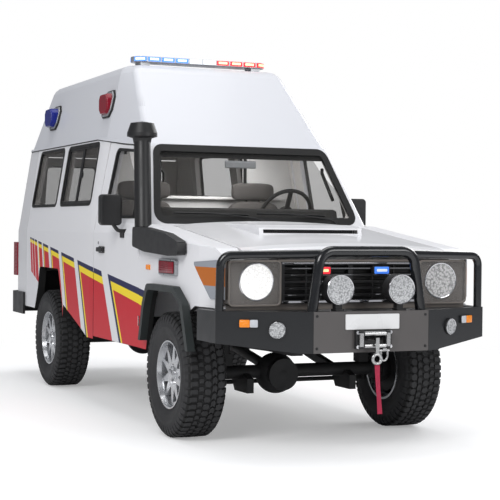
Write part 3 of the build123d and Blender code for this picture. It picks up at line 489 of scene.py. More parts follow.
@dataclass(frozen=True)
class CornerLens(Finish):
    """The headlamps' taupe faces, and the corner lamps: clear, with an amber band."""

    amber: Colour = (0.60, 0.16, 0.012)
    clear: Colour = (0.36, 0.38, 0.42)
    band: Flat = (0.945, 1.050)
    corner_x: float = 0.785

    def paint(self, graph: Graph) -> Socket:
        """Taupe inboard; clear and amber outboard.

        Args:
            graph: the tree being wired.

        Returns:
            The colour socket.
        """
        axes = graph.add("ShaderNodeSeparateXYZ", {0: graph.place()})
        low, high = self.band
        above = graph.sum("GREATER_THAN", axes.outputs[2], low)
        below = graph.sum("LESS_THAN", axes.outputs[2], high)
        lens = graph.blend(graph.sum("MULTIPLY", above, below), rgba(self.clear), rgba(self.amber))
        corner = graph.sum("GREATER_THAN", graph.sum("ABSOLUTE", axes.outputs[0]), self.corner_x)
        return graph.blend(corner, super().paint(graph), lens)


class Kit:
    """The finishes of this vehicle."""

    BODY = BodyPaint("body_paint", (0.77, 0.77, 0.79), 0.24, "body_white", coat=0.25, gloss=0.4,
                     grain=Grain.SMOOTH, mottle=0.01)
    LIVERY = LiveryPaint("livery_paint", (0.77, 0.77, 0.79), 0.34, "body_white", coat=0.02, gloss=0.18,
                         grain=Grain.SMOOTH, mottle=0.01)
    # The raised roof's own bluish white, partly painted shade: darker than the body paint to offset the light
    # from above.
    ROOF = BodyPaint("roof_gelcoat_and_painted_shade", (0.66, 0.67, 0.705), 0.34, "roof_white", coat=0.1, gloss=0.35,
                     grain=Grain.SMOOTH, mottle=0.01)
    NOSE = Finish("nose_paint", (0.20, 0.175, 0.155), 0.35, "nose_brown", coat=0.3, grain=Grain.PAINT)
    CHASSIS = Finish("chassis_coating", (0.018, 0.018, 0.019), 0.6, "chassis_black", grain=Grain.CAST,
                     grain_size=0.006, relief=0.2, mottle=0.4)
    BAR = TwoTone("bar_powder_coat", (0.012, 0.013, 0.015), 0.36, "bar_black", coat=0.15,
                  grain_size=0.0016, relief=0.12, mottle=0.2)
    FLOOR = TwoTone("floor_coating", (0.02, 0.02, 0.021), 0.6, "body_white", grain=Grain.CAST, mottle=0.3,
                    second=(0.30, 0.29, 0.28), low=(-2.0, -1.0, 0.715), high=(2.0, 5.0, 2.0))
    HOOP = Finish("hoop_gloss_black", (0.009, 0.010, 0.012), 0.22, "bar_black", coat=0.5,
                  grain_size=0.002, relief=0.05, mottle=0.2)
    CAST = Finish("cast_iron", (0.10, 0.10, 0.10), 0.7, "cast_metal", metal=0.3, grain=Grain.CAST,
                  grain_size=0.005, relief=0.4, mottle=0.3)
    STEEL = Finish("bright_steel", (0.62, 0.62, 0.62), 0.25, "bare_steel", metal=1.0,
                   grain=Grain.BRUSHED, grain_size=0.003, relief=0.08, mottle=0.15)
    EXHAUST = Finish("dull_steel", (0.22, 0.20, 0.185), 0.5, "bare_steel", metal=0.9,
                     grain=Grain.CAST, grain_size=0.006, relief=0.15, mottle=0.3)
    PLASTIC = Finish("black_moulding", (0.017, 0.017, 0.018), 0.42, "black_plastic",
                     grain_size=0.0014, relief=0.25, mottle=0.2)
    FLARE = Finish("arch_moulding", (0.028, 0.034, 0.034), 0.46, "black_plastic",
                   grain_size=0.0016, relief=0.25, mottle=0.2)
    RUBBER = Finish("seal_rubber", (0.013, 0.013, 0.013), 0.55, "black_rubber",
                    grain_size=0.002, relief=0.2, mottle=0.25)
    TYRE = TreadRubber("tyre_rubber", (0.034, 0.034, 0.036), 0.68, "tyre_rubber", grain=Grain.CAST,
                       grain_size=0.004, relief=0.25, mottle=0.35)
    RIM = Finish("alloy_silver", (0.60, 0.61, 0.63), 0.26, "rim_silver", metal=0.85, coat=0.3,
                 grain=Grain.PAINT, grain_size=0.003, relief=0.04, mottle=0.06)
    # Painted shade: a dark sheet that stands for the shade inside the rim.
    RIM_SHADE = Finish("rim_painted_shade", (0.030, 0.030, 0.032), 0.5, "rim_silver", grain_size=0.003)
    CHROME = Finish("chrome", (0.78, 0.78, 0.80), 0.08, "bare_steel", metal=1.0, grain=Grain.SMOOTH,
                    mottle=0.05)
    GLASS = Finish("window_tint", (0.055, 0.052, 0.048), 0.04, "window_glass", grain=Grain.SMOOTH,
                   mottle=0.1, cover=0.30)
    SCREEN = Finish("screen_tint", (0.07, 0.068, 0.062), 0.04, "window_glass", grain=Grain.SMOOTH,
                    mottle=0.1, cover=0.12)
    DARK_CABIN = Finish("dash_moulding", (0.022, 0.021, 0.021), 0.6, "cabin_dark", grain_size=0.0022,
                        relief=0.35, mottle=0.15)
    LIGHT_CABIN = Finish("cabinet_laminate", (0.66, 0.65, 0.64), 0.4, "cabin_light", grain_size=0.003,
                         relief=0.1)
    CLOTH = Finish("seat_cloth", (0.085, 0.078, 0.074), 0.9, "seat_grey", grain=Grain.WOVEN,
                   grain_size=0.0035, relief=0.5, mottle=0.2)
    WEBBING = Finish("strap_webbing", (0.50, 0.025, 0.075), 0.85, "strap_red", grain=Grain.WOVEN,
                     grain_size=0.002, relief=0.6, mottle=0.2)
    REFLECTOR = Lens("reflector", (0.95, 0.94, 0.93), 0.2, "lamp_glass", metal=0.2, relief=0.6,
                     flute=0.012, glow=0.5, glow_colour=(1.0, 0.98, 0.95), facet_shade_strength=0.35)
    UNLIT_REFLECTOR = Lens("unlit_reflector", (0.80, 0.79, 0.78), 0.2, "lamp_glass", metal=0.4, relief=0.7,
                           flute=0.014, facet_shade_strength=0.6)
    DIM_REFLECTOR = CornerLens("dim_reflector", (0.125, 0.105, 0.09), 0.25, "lamp_glass", metal=0.3,
                               grain=Grain.SMOOTH)
    CLEAR = Lens("clear_lens", (0.75, 0.77, 0.78), 0.08, "lamp_glass", relief=0.2, mottle=0.05, cover=0.05)
    LED_DISH = Lens("led_dish", (0.70, 0.71, 0.72), 0.2, "lamp_glass", metal=0.3, relief=0.6, mottle=0.3,
                    flute=0.010, facet_shade_strength=0.55)
    WARM_CORE = Finish("warm_core", (1.0, 0.85, 0.6), 0.3, "lamp_glass", grain=Grain.SMOOTH, glow=1.0,
                       glow_colour=(1.0, 0.66, 0.22))
    BEZEL = Finish("lamp_bezel", (0.42, 0.43, 0.45), 0.3, "bar_grey", metal=0.5, grain=Grain.PAINT)
    AMBER = Lens("amber_lens", (0.85, 0.24, 0.015), 0.14, "lamp_glass", relief=0.5, mottle=0.25,
                 glow=0.15, glow_colour=(1.0, 0.35, 0.02))
    PALE_LENS = Lens("pale_lens", (0.62, 0.64, 0.68), 0.14, "lamp_glass", relief=0.5, mottle=0.25)
    RED_LENS = Lens("red_lens", (0.27, 0.005, 0.020), 0.2, "lens_red", relief=0.6, mottle=0.3,
                    flute=0.012, gloss=0.3)
    BLUE_LENS = Lens("blue_lens", (0.010, 0.020, 0.24), 0.2, "lens_red", relief=0.6, mottle=0.3,
                     flute=0.012, gloss=0.3)
    RED_LIT = Lens("red_lit", (0.9, 0.03, 0.05), 0.2, "lens_red", relief=0.4, glow=0.7,
                   glow_colour=(1.0, 0.03, 0.05))
    BLUE_LIT = Lens("blue_lit", (0.12, 0.35, 0.95), 0.2, "lens_red", relief=0.4, glow=0.6,
                    glow_colour=(0.03, 0.18, 1.0))
    WHITE_LIT = Lens("white_lit", (0.85, 0.9, 0.95), 0.2, "lamp_glass", relief=0.4, glow=0.5,
                     glow_colour=(0.85, 0.93, 1.0))
    BLANK = Finish("blank_plate", (0.80, 0.80, 0.80), 0.3, "bar_grey", coat=0.3, grain=Grain.PAINT)
    GREY = Finish("grey_housing", (0.32, 0.33, 0.34), 0.35, "bar_grey", metal=0.4)


MERGE_REACH = 1e-5
LEAST_AREA = 1e-12
SHARP_DEG = 35
BEVEL_DEG = 40


class Draft:
    """A mesh while it is drawn."""

    def __init__(self) -> None:
        """Start from an empty mesh."""
        self.mesh = bmesh.new()

    def strip(self, rings: Sequence[Sequence[Vector]], ring_closed: bool = True,
              run_closed: bool = False) -> "Draft":
        """Join rings of points into a skin.

        Args:
            rings: rings of the same number of points, in order.
            ring_closed: whether each ring joins up with its own start.
            run_closed: whether the last ring joins the first. If not, the two ends are filled.

        Returns:
            The draft itself.
        """
        made = [[self.mesh.verts.new(point) for point in ring] for ring in rings]
        pairs = list(zip(made, made[1:]))
        if run_closed:
            pairs.append((made[-1], made[0]))
        for first, second in pairs:
            count = len(first)
            for index in range(count if ring_closed else count - 1):
                after = (index + 1) % count
                self.mesh.faces.new((first[index], first[after], second[after], second[index]))
        if not run_closed and ring_closed:
            self.mesh.faces.new(made[0][::-1])
            self.mesh.faces.new(made[-1])
        return self

    def box(self, low: Place, high: Place) -> "Draft":
        """A box between two corners."""
        corners = ((low[0], low[1]), (high[0], low[1]), (high[0], high[1]), (low[0], high[1]))
        return self.strip([[spot(x, y, z) for x, y in corners] for z in (low[2], high[2])])

    def turned(self, profile: Sequence[Flat], centre: Vector, axis: Vector, sides: int = 32) -> "Draft":
        """A profile of (distance along the axis, radius) turned about an axis.

        Args:
            profile: the points from one end to the other. A closed form starts and ends at radius 0
                or at the same point.
            centre: where the axis starts.
            axis: its direction.
            sides: how many flats go round.

        Returns:
            The draft itself.
        """
        axis = axis.normalized()
        across = axis.orthogonal().normalized()
        up = axis.cross(across)
        rings = []
        for step in range(sides):
            turn = tau * step / sides
            arm = across * cos(turn) + up * sin(turn)
            rings.append([centre + axis * along + arm * radius for along, radius in profile])
        return self.strip(rings, ring_closed=False, run_closed=True)

    def tube(self, path: Sequence[Vector], radius: float, sides: int = 12) -> "Draft":
        """A round bar along a path."""
        outline = [(radius * cos(tau * k / sides), radius * sin(tau * k / sides)) for k in range(sides)]
        return self.sweep(path, outline)

    def sweep(self, path: Sequence[Vector], outline: Sequence[Flat]) -> "Draft":
        """An outline carried along a path without a twist.

        Args:
            path: the points that the outline's origin follows.
            outline: its points.

        Returns:
            The draft itself.
        """
        rings, across = [], None
        for index, point in enumerate(path):
            run = (path[min(index + 1, len(path) - 1)] - path[max(index - 1, 0)]).normalized()
            if across is None:
                across = run.orthogonal().normalized()
            else:
                across = (across - run * across.dot(run)).normalized()
            up = run.cross(across)
            rings.append([point + across * a + up * b for a, b in outline])
        return self.strip(rings)

    def plain(self, name: str) -> bpy.types.Mesh:
        """The finished mesh, with doubles merged and its faces outwards.

        Args:
            name: the mesh's name.

        Returns:
            The mesh.
        """
        bmesh.ops.remove_doubles(self.mesh, verts=self.mesh.verts, dist=MERGE_REACH)
        loose = [face for face in self.mesh.faces if face.calc_area() < LEAST_AREA]
        bmesh.ops.delete(self.mesh, geom=loose, context="FACES")
        bmesh.ops.recalc_face_normals(self.mesh, faces=self.mesh.faces)
        mesh = bpy.data.meshes.new(name)
        self.mesh.to_mesh(mesh)
        self.mesh.free()
        return mesh


def rounded(corners: Sequence[Flat], radius: float, steps: int = 6) -> list[Flat]:
    """A flat outline with its corners rounded.

    Args:
        corners: the corner points, in order.
        radius: the corners' radius.
        steps: how many runs a corner takes.

    Returns:
        The outline's points.
    """
    out: list[Flat] = []
    count = len(corners)
    for index, corner in enumerate(corners):
        here = Vector(corner)
        back = (Vector(corners[index - 1]) - here)
        ahead = (Vector(corners[(index + 1) % count]) - here)
        half = acos(max(-1.0, min(1.0, back.normalized().dot(ahead.normalized())))) / 2
        reach = radius * cos(half) / sin(half)
        reach = min(reach, back.length * 0.49, ahead.length * 0.49)
        start, end = here + back.normalized() * reach, here + ahead.normalized() * reach
        for step in range(steps + 1):
            share = step / steps
            point = start * (1 - share) ** 2 + here * 2 * share * (1 - share) + end * share ** 2
            out.append((point.x, point.y))
    return out


def offset(outline: Sequence[Flat], reach: float) -> list[Flat]:
    """Move a closed outline outwards, or inwards where the reach is negative.

    Args:
        outline: its points.
        reach: how far it moves.

    Returns:
        The moved outline's points.
    """
    area = sum(a[0] * b[1] - b[0] * a[1] for a, b in zip(outline, [*outline[1:], outline[0]]))
    sign = 1 if area > 0 else -1
    out = []
    count = len(outline)
    for index, point in enumerate(outline):
        run = Vector(outline[(index + 1) % count]) - Vector(outline[index - 1])
        run.normalize()
        out.append((point[0] + run.y * reach * sign, point[1] - run.x * reach * sign))
    return out


def finish_piece(name: str, shape: Draft | bpy.types.Mesh, finish: Finish, body: str = "root",
                 bevel: float = 0.0, replaces: Iterable[str] = ()) -> bpy.types.Object:
    """Put a mesh into the scene as one piece of the vehicle.

    Args:
        name: the piece's name.
        shape: its draft or mesh, in the model's frame.
        finish: its finish.
        body: the CAD body it moves with.
        bevel: the width of its edges' rounding, or 0.
        replaces: the CAD nodes it stands for.

    Returns:
        The piece.
    """
    mesh = shape.plain(name) if isinstance(shape, Draft) else shape
    piece = bpy.data.objects.new(name, mesh)
    bpy.context.scene.collection.objects.link(piece)
    mesh.materials.clear()
    mesh.materials.append(finish.material())
    mesh.shade_smooth()
    mesh.set_sharp_from_angle(angle=radians(SHARP_DEG))
    if bevel:
        edge = piece.modifiers.new("edge", "BEVEL")
        edge.width = bevel
        edge.segments = 2
        edge.limit_method = "ANGLE"
        edge.angle_limit = radians(BEVEL_DEG)
    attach(piece, body)
    for node in replaces:
        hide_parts(node)
    LOG.info("%s: %d faces", name, len(mesh.polygons))
    return piece


class Repeat(Enum):
    """How a shape is repeated."""

    ROW = "row"
    RING = "ring"


class Repeater:
    """Copies of one shape made by a Geometry Nodes tree."""

    def __init__(self, way: Repeat) -> None:
        """Keep the way of repeating and build its tree."""
        self.way = way
        self.tree = self.build()

    def build(self) -> bpy.types.NodeTree:
        """The tree: copies in a row, or in a ring about an axis along X.

        Returns:
            The tree, with its inputs named.
        """
        tree = bpy.data.node_groups.new(f"repeat_{self.way.value}", "GeometryNodeTree")
        face = tree.interface
        face.new_socket("Shape", in_out="INPUT", socket_type="NodeSocketGeometry")
        for name, kind in (("Count", "NodeSocketInt"), ("Start", "NodeSocketVector"),
                           ("Step", "NodeSocketVector"), ("Finish", "NodeSocketMaterial")):
            face.new_socket(name, in_out="INPUT", socket_type=kind)
        face.new_socket("Shape", in_out="OUTPUT", socket_type="NodeSocketGeometry")
        graph = Graph(tree)
        given = graph.add("NodeGroupInput").outputs
        spread = {"Count": given["Count"], "Start Location": given["Start"], "Offset": given["Step"]}
        stand = {"Instance": given["Shape"]}
        if self.way is Repeat.RING:
            spread["Offset"] = (0, 0, 0)
            index = graph.add("GeometryNodeInputIndex").outputs[0]
            turn = graph.add("ShaderNodeVectorMath", {0: given["Step"], "Scale": index}, operation="SCALE")
            stand["Rotation"] = turn.outputs[0]
        stand["Points"] = graph.add("GeometryNodeMeshLine", spread).outputs[0]
        copies = graph.add("GeometryNodeInstanceOnPoints", stand)
        real = graph.add("GeometryNodeRealizeInstances", {0: copies.outputs[0]})
        dress = {"Geometry": real.outputs[0], "Material": given["Finish"]}
        coat = graph.add("GeometryNodeSetMaterial", dress)
        graph.add("NodeGroupOutput", {0: coat.outputs[0]})
        return tree

    def mesh(self, name: str, shape: bpy.types.Mesh, count: int, start: Vector, step: Vector,
             finish: Finish) -> bpy.types.Mesh:
        """The repeated shape as one plain mesh.

        Args:
            name: the mesh's name.
            shape: one copy, drawn about the origin.
            count: how many copies.
            start: where the first copy goes, or the ring's middle.
            step: the move from copy to copy, or the turn in radians about each axis.
            finish: the copies' finish.

        Returns:
            The mesh.
        """
        carrier = bpy.data.objects.new(name, shape)
        bpy.context.scene.collection.objects.link(carrier)
        modifier = carrier.modifiers.new("repeat", "NODES")
        modifier.node_group = self.tree
        values = {"Count": count, "Start": tuple(start), "Step": tuple(step), "Finish": finish.material()}
        for item in self.tree.interface.items_tree:
            if item.in_out == "INPUT" and item.name in values:
                modifier[item.identifier] = values[item.name]
        graph = bpy.context.evaluated_depsgraph_get()
        mesh = bpy.data.meshes.new_from_object(carrier.evaluated_get(graph), depsgraph=graph)
        mesh.name = name
        carrier.modifiers.remove(modifier)
        bpy.data.objects.remove(carrier)
        return mesh


@cache
def repeater(way: Repeat) -> Repeater:
    """The one tree for each way of repeating."""
    return Repeater(way)


def finish_row(name: str, shape: Draft, count: int, start: Vector, step: Vector, finish: Finish,
               body: str = "root") -> None:
    """Put a row of one shape into the scene as one piece."""
    mesh = repeater(Repeat.ROW).mesh(name, shape.plain(name), count, start, step, finish)
    finish_piece(name, mesh, finish, body)


def moved(mesh: bpy.types.Mesh, name: str, matrix: Matrix) -> bpy.types.Mesh:
    """A copy of a mesh moved by a matrix, with its faces kept outwards.

    Args:
        mesh: the mesh to copy.
        name: the copy's name.
        matrix: where it goes.

    Returns:
        The copy.
    """
    copy = mesh.copy()
    copy.name = name
    copy.transform(matrix)
    if matrix.determinant() < 0:
        copy.flip_normals()
    return copy


@dataclass
class BodyForm:
    """The side wall's form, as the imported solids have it."""

    levels: tuple[Level, ...] = (
        # z, front y, front half, middle half, rear half, rear y
        (0.480, 0.500, 0.842, 0.845, 0.802, 3.985),
        (1.230, 0.512, 0.840, 0.844, 0.800, 3.985),
        (1.300, 0.552, 0.792, 0.834, 0.788, 3.980),
        (1.905, 0.943, 0.658, 0.728, 0.700, 3.930),
    )
    middle_y: float = 1.65
    screen_foot: Flat = (0.552, 1.300)
    screen_head: Flat = (0.943, 1.905)

    def row(self, z: float) -> list[float]:
        """The wall's sizes at a height.

        Args:
            z: the height.

        Returns:
            A row as in the levels.
        """
        z = min(max(z, self.levels[0][0]), self.levels[-1][0])
        for low, high in zip(self.levels, self.levels[1:]):
            if z <= high[0]:
                share = (z - low[0]) / (high[0] - low[0])
                return [a + (b - a) * share for a, b in zip(low, high)]
        return list(self.levels[-1])

    def half_width(self, y: float, z: float) -> float:
        """The outer side wall's distance from the middle plane.

        Args:
            y: the place's distance behind the front axle.
            z: its height.

        Returns:
            The distance.
        """
        _, front, half_front, half_middle, half_rear, rear = self.row(z)
        if y < self.middle_y:
            return half_front + (half_middle - half_front) * (y - front) / (self.middle_y - front)
        return half_middle + (half_rear - half_middle) * (y - self.middle_y) / (rear - self.middle_y)

    def screen_y(self, z: float) -> float:
        """The windscreen's outer face at a height."""
        (y0, z0), (y1, z1) = self.screen_foot, self.screen_head
        return y0 + (y1 - y0) * (z - z0) / (z1 - z0)

    def rear_y(self, z: float) -> float:
        """The rear wall's outer face at a height."""
        return self.row(z)[5]

    def on_side(self, side: int, y: float, z: float, proud: float = 0.0) -> Vector:
        """A place on the side wall."""
        return spot(side * (self.half_width(y, z) + proud), y, z)


BODY = BodyForm()


@dataclass
class Studio:
    """The camera at the photograph's angle, the pale floor and the soft lamps."""

    camera_place: Place = (-3.765, -7.942, 1.284)
    yaw_deg: float = 23.50
    pitch_deg: float = -0.970
    roll_deg: float = 0.536
    focal_px: float = 1397.4
    image_px: float = 500.0
    sensor_mm: float = 36.0
    floor_half: float = 40.0
    sky: float = 0.50
    mirror_dim: float = 0.30
    floor_lift: float = 0.30
    fade: Flat = (2.6, 5.5)
    sky_colour: Colour = (0.93, 0.95, 1.0)
    floor_colour: Colour = (0.80, 0.80, 0.80)
    lamps: tuple[tuple[str, Place, Place, float, float], ...] = (
        # name, place, aim, size, power
        ("key", (-6.5, -5.0, 6.0), (0, 1.0, 1.0), 4.0, 400),
        ("front", (3.5, -7.5, 4.5), (0, 0, 0.9), 4.0, 190),
        ("top", (0.0, 2.0, 8.0), (0, 1.6, 0), 5.0, 210),
        ("far", (6.5, 4.0, 5.0), (0, 1.5, 1.0), 4.0, 260),
        ("cabin", (0.0, 1.15, 1.84), (0, 1.45, 1.2), 0.45, 9),
    )

    def camera(self) -> None:
        """Set the camera."""
        data = bpy.data.cameras.new("photo_camera")
        data.sensor_width = self.sensor_mm
        data.lens = self.focal_px * self.sensor_mm / self.image_px
        data.clip_end = 200.0
        camera = bpy.data.objects.new("photo_camera", data)
        yaw, pitch, roll = (radians(turn) for turn in (self.yaw_deg, self.pitch_deg, self.roll_deg))
        ahead = Vector((sin(yaw) * cos(pitch), cos(yaw) * cos(pitch), sin(pitch)))
        right = Vector((cos(yaw), -sin(yaw), 0.0))
        up = right.cross(ahead)
        across = right * cos(roll) + up * sin(roll)
        over = up * cos(roll) - right * sin(roll)
        turn = Matrix((across, over, -ahead)).transposed()
        camera.matrix_world = Matrix.Translation(spot(*self.camera_place)) @ turn.to_4x4()
        bpy.context.scene.collection.objects.link(camera)
        bpy.context.scene.camera = camera

    def lamp(self, name: str, place: Place, aim: Place, size: float, power: float) -> bpy.types.Object:
        """A square soft lamp aimed at a place.

        Args:
            name: the lamp's name.
            place: where it hangs.
            aim: what it points at.
            size: the length of its side.
            power: its power in watts.

        Returns:
            The lamp.
        """
        data = bpy.data.lights.new(name, "AREA")
        data.size = size
        data.energy = power
        lamp = bpy.data.objects.new(name, data)
        lamp.location = spot(*place)
        lamp.rotation_euler = (spot(*aim) - spot(*place)).to_track_quat("-Z", "Y").to_euler()
        bpy.context.scene.collection.objects.link(lamp)
        return lamp

    def world(self) -> None:
        """An even pale sky that the camera sees as white."""
        world = bpy.data.worlds.new("studio")
        bpy.context.scene.world = world
        world.use_nodes = True
        graph = Graph(world.node_tree)
        path = graph.add("ShaderNodeLightPath")
        seen = graph.sum("MAXIMUM", path.outputs["Is Camera Ray"], path.outputs["Is Transmission Ray"])
        level = graph.sum("MULTIPLY_ADD", path.outputs["Is Glossy Ray"], -self.mirror_dim, self.sky)
        soft = graph.add("ShaderNodeBackground", {0: rgba(self.sky_colour), 1: level})
        white = graph.add("ShaderNodeBackground", {0: rgba((1.0, 1.0, 1.0)), 1: 1.0})
        mix = graph.add("ShaderNodeMixShader", {0: seen, 1: soft.outputs[0], 2: white.outputs[0]})
        graph.add("ShaderNodeOutputWorld", {0: mix.outputs[0]})

    def floor(self) -> None:
        """A pale floor that keeps the shadow and fades to white."""
        draft = Draft()
        half = self.floor_half
        corners = [Vector((x * half, y * half, 0.0)) for x, y in ((-1, -1), (1, -1), (1, 1), (-1, 1))]
        draft.mesh.faces.new([draft.mesh.verts.new(corner) for corner in corners])
        mesh = draft.plain("floor")
        floor = bpy.data.objects.new("floor", mesh)
        bpy.context.scene.collection.objects.link(floor)
        made = bpy.data.materials.new("floor_paper")
        made.use_nodes = True
        graph = Graph(made.node_tree)
        seen = graph.add("ShaderNodeLightPath").outputs["Is Camera Ray"]
        matt = graph.add("ShaderNodeBsdfDiffuse", {0: rgba(self.floor_colour)})
        strength = graph.sum("MULTIPLY", seen, self.floor_lift)
        lift = graph.add("ShaderNodeEmission", {0: rgba((1, 1, 1)), 1: strength})
        both = graph.add("ShaderNodeAddShader", {0: matt.outputs[0], 1: lift.outputs[0]})
        reach = graph.add("ShaderNodeVectorMath", {0: graph.place()}, operation="LENGTH").outputs["Value"]
        low, high = self.fade
        far = graph.add("ShaderNodeMapRange", {0: reach, 1: low, 2: high, 3: 0.0, 4: 1.0},
                        interpolation_type="SMOOTHSTEP")
        share = graph.sum("MULTIPLY", far.outputs[0], seen)
        white = graph.add("ShaderNodeEmission", {0: rgba((1, 1, 1)), 1: 1.0})
        mix = graph.add("ShaderNodeMixShader", {0: share, 1: both.outputs[0], 2: white.outputs[0]})
        graph.add("ShaderNodeOutputMaterial", {0: mix.outputs[0]})
        mesh.materials.append(made)

    def set_up(self) -> None:
        """Build the whole studio."""
        bpy.context.scene.view_settings.view_transform = "Standard"
        self.camera()
        self.world()
        self.floor()
        for row in self.lamps:
            lamp = self.lamp(*row)
            if row[0] == "cabin":
                lamp.visible_camera = False
                lamp.visible_glossy = False


class Coats:
    """The finishes of the CAD nodes that stay in view."""

    ROWS: tuple[tuple[Finish, tuple[str, ...]], ...] = (
        (Kit.FLOOR, ("floor_pan",)),
        (Kit.BODY, ("cab_front", "rear_frame", "hood", "rear_door_right", "rear_door_left")),
        (Kit.LIVERY, ("front_fenders", "door_right", "door_left", "side_panel_right", "side_panel_left")),
        (Kit.ROOF, ("high_roof",)),
        (Kit.NOSE, ("nose_panel",)),
        (Kit.CHASSIS, ("chassis_frame", "front_axle", "rear_axle", "suspension", "fuel_tank", "tie_rod",
                       "knuckle_right", "knuckle_left")),
        (Kit.CAST, ("engine_block", "drivetrain")),
        (Kit.EXHAUST, ("exhaust",)),
        (Kit.BAR, ("bull_bar",)),
        (Kit.HOOP, ("bar_hoops",)),
        (Kit.PLASTIC, ("grille", "snorkel", "mirror_right", "mirror_left", "rear_bumper", "winch")),
        (Kit.FLARE, ("arch_flares",)),
        (Kit.RUBBER, ("mudflaps",)),
        (Kit.STEEL, ("tow_hook",)),
        (Kit.RIM, ("rim_front_right", "rim_front_left", "rim_rear_right", "rim_rear_left")),
        (Kit.SCREEN, ("windscreen",)),
        (Kit.GLASS, ("side_glass", "door_glass_right", "door_glass_left", "rear_glass_right",
                     "rear_glass_left")),
        (Kit.DIM_REFLECTOR, ("headlamps",)),
        (Kit.PLASTIC, ("driving_lamps",)),
        (Kit.BEZEL, ("light_bar",)),
        (Kit.RED_LENS, ("tail_lamps",)),
        (Kit.DARK_CABIN, ("dashboard",)),
        (Kit.LIGHT_CABIN, ("partition",)),
    )

    def dress(self) -> None:
        """Give each node its material."""
        for finish, names in self.ROWS:
            for name in names:
                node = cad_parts[name]
                for slot in node.material_slots:
                    slot.material = finish.material()
                LOG.info("%s wears %s", name, finish.name)


@dataclass
class Tyres:
    """Four off-road tyres with blocks, lugs and moulded side walls."""

    radius: float = 0.382
    half_width: float = 0.131
    block_foot: float = 0.366
    pitches: int = 50
    ring_sides: int = 120

    def carcass(self) -> Draft:
        """The turned body of the tyre, drawn about its own middle.

        Returns:
            The draft.
        """
        half = self.half_width
        side = ((half - 0.026, 0.2085), (half - 0.016, 0.226), (half - 0.010, 0.238), (half - 0.004, 0.262),
                (half - 0.0015, 0.281), (half, 0.286), (half, 0.296), (half - 0.0022, 0.301),
                (half - 0.0025, 0.326), (half - 0.012, 0.349), (half - 0.028, 0.3655), (half - 0.045, 0.3715))
        profile = [*[(-x, r) for x, r in side], (0.0, 0.373), *[(x, r) for x, r in side[::-1]],
                   (-half + 0.026, 0.2085)]
        return Draft().turned(profile, Vector((0, 0, 0)), Vector((1, 0, 0)), self.ring_sides)

    def block(self, draft: Draft, outline: Sequence[Flat], top: float, foot: float) -> None:
        """One tread block with a chamfered top.

        Args:
            draft: where it is drawn.
            outline: its corners as (across, round the wheel).
            top: its height as a radius.
            foot: where it starts, as a radius.
        """
        middle_x = sum(x for x, _ in outline) / len(outline)
        middle_s = sum(s for _, s in outline) / len(outline)
        rings = []
        for radius, share in ((foot, 1.04), (top - 0.0016, 1.0), (top, 0.93)):
            ring = []
            for x, s in outline:
                across = middle_x + (x - middle_x) * share
                turn = (middle_s + (s - middle_s) * share) / self.radius
                ring.append(Vector((across, radius * sin(turn), radius * cos(turn))))
            rings.append(ring)
        draft.strip(rings)

    def pitch(self) -> bpy.types.Mesh:
        """One pitch of the tread: a middle rib, two inner ribs and the shoulders.

        Returns:
            The mesh.
        """
        draft = Draft()
        length = tau * self.radius / self.pitches
        self.block(draft, ((-0.020, -0.006), (-0.009, -0.017), (0.012, -0.015), (0.020, -0.004),
                           (0.021, 0.010), (0.009, 0.021), (-0.011, 0.019), (-0.020, 0.008)),
                   self.radius, self.block_foot)
        for side in (-1, 1):
            skew = side * 0.004
            lift = length / 2
            inner = ((0.0255, -0.016 + skew), (0.040, -0.010), (0.055, -0.017 + skew), (0.057, 0.010),
                     (0.047, 0.020 - skew), (0.030, 0.013))
            self.block(draft, [(side * x, s + lift * 0.8) for x, s in inner], self.radius - 0.0006,
                       self.block_foot)
            outer = ((0.0625, -0.014), (0.080, -0.018 + skew), (0.098, -0.015), (0.103, 0.012),
                     (0.084, 0.019 - skew), (0.064, 0.013))
            self.block(draft, [(side * x, s + side * 0.006) for x, s in outer], self.radius - 0.0018,
                       self.block_foot - 0.004)
        return draft.plain("tread_pitch")

    def lug(self) -> bpy.types.Mesh:
        """One pair of shoulder lugs that run down onto the side walls.

        Returns:
            The mesh.
        """
        draft = Draft()
        half = self.half_width
        for side in (-1, 1):
            rings = []
            for x, radius, reach in ((half - 0.029, 0.3775, 0.0150), (half - 0.0155, 0.3670, 0.0150),
                                     (half - 0.0045, 0.3500, 0.0135), (half - 0.0002, 0.3270, 0.0115),
                                     (half - 0.0012, 0.3150, 0.0090)):
                depth = 0.010
                rings.append([Vector((side * x, -reach, radius)), Vector((side * x, reach, radius)),
                              Vector((side * (x - depth), reach, radius - depth * 0.6)),
                              Vector((side * (x - depth), -reach, radius - depth * 0.6))])
            draft.strip(rings)
        return draft.plain("tread_lug")

    def place(self) -> None:
        """Build one tyre and set it on all four wheels."""
        step = Vector((tau / self.pitches, 0, 0))
        origin = Vector((0, 0, 0))
        parts = [
            self.carcass().plain("carcass"),
            repeater(Repeat.RING).mesh("tread", self.pitch(), self.pitches, origin, step, Kit.TYRE),
            repeater(Repeat.RING).mesh("lugs", self.lug(), self.pitches, origin, step, Kit.TYRE),
        ]
        joined = bmesh.new()
        for part in parts:
            joined.from_mesh(part)
        whole = bpy.data.meshes.new("tyre")
        joined.to_mesh(whole)
        joined.free()
        for end in ("front", "rear"):
            for name, side in SIDES:
                node = f"tyre_{end}_{name}"
                matrix = Matrix.Translation(middle_of(node)) @ Matrix.Diagonal((side, 1, 1, 1))
                mesh = moved(whole, f"tread_{end}_{name}", matrix)
                wheel = f"wheel_{end}_{name}"
                finish_piece(f"tyre_{end}_{name}_tread", mesh, Kit.TYRE, wheel, replaces=(node,))


Lay = Callable[[float, float, float], Vector]
WING_RUN: Flat = (0.921, 0.389)


def side_lay(side: int) -> Lay:
    """Places on a side wall from (y, z, proud)."""
    return lambda y, z, proud: BODY.on_side(side, y, z, proud)


def flat_side_lay(side: int, x: float) -> Lay:
    """Places on an upright plane that faces sideways, from (y, z, proud)."""
    return lambda y, z, proud: spot(side * (x + proud), y, z)


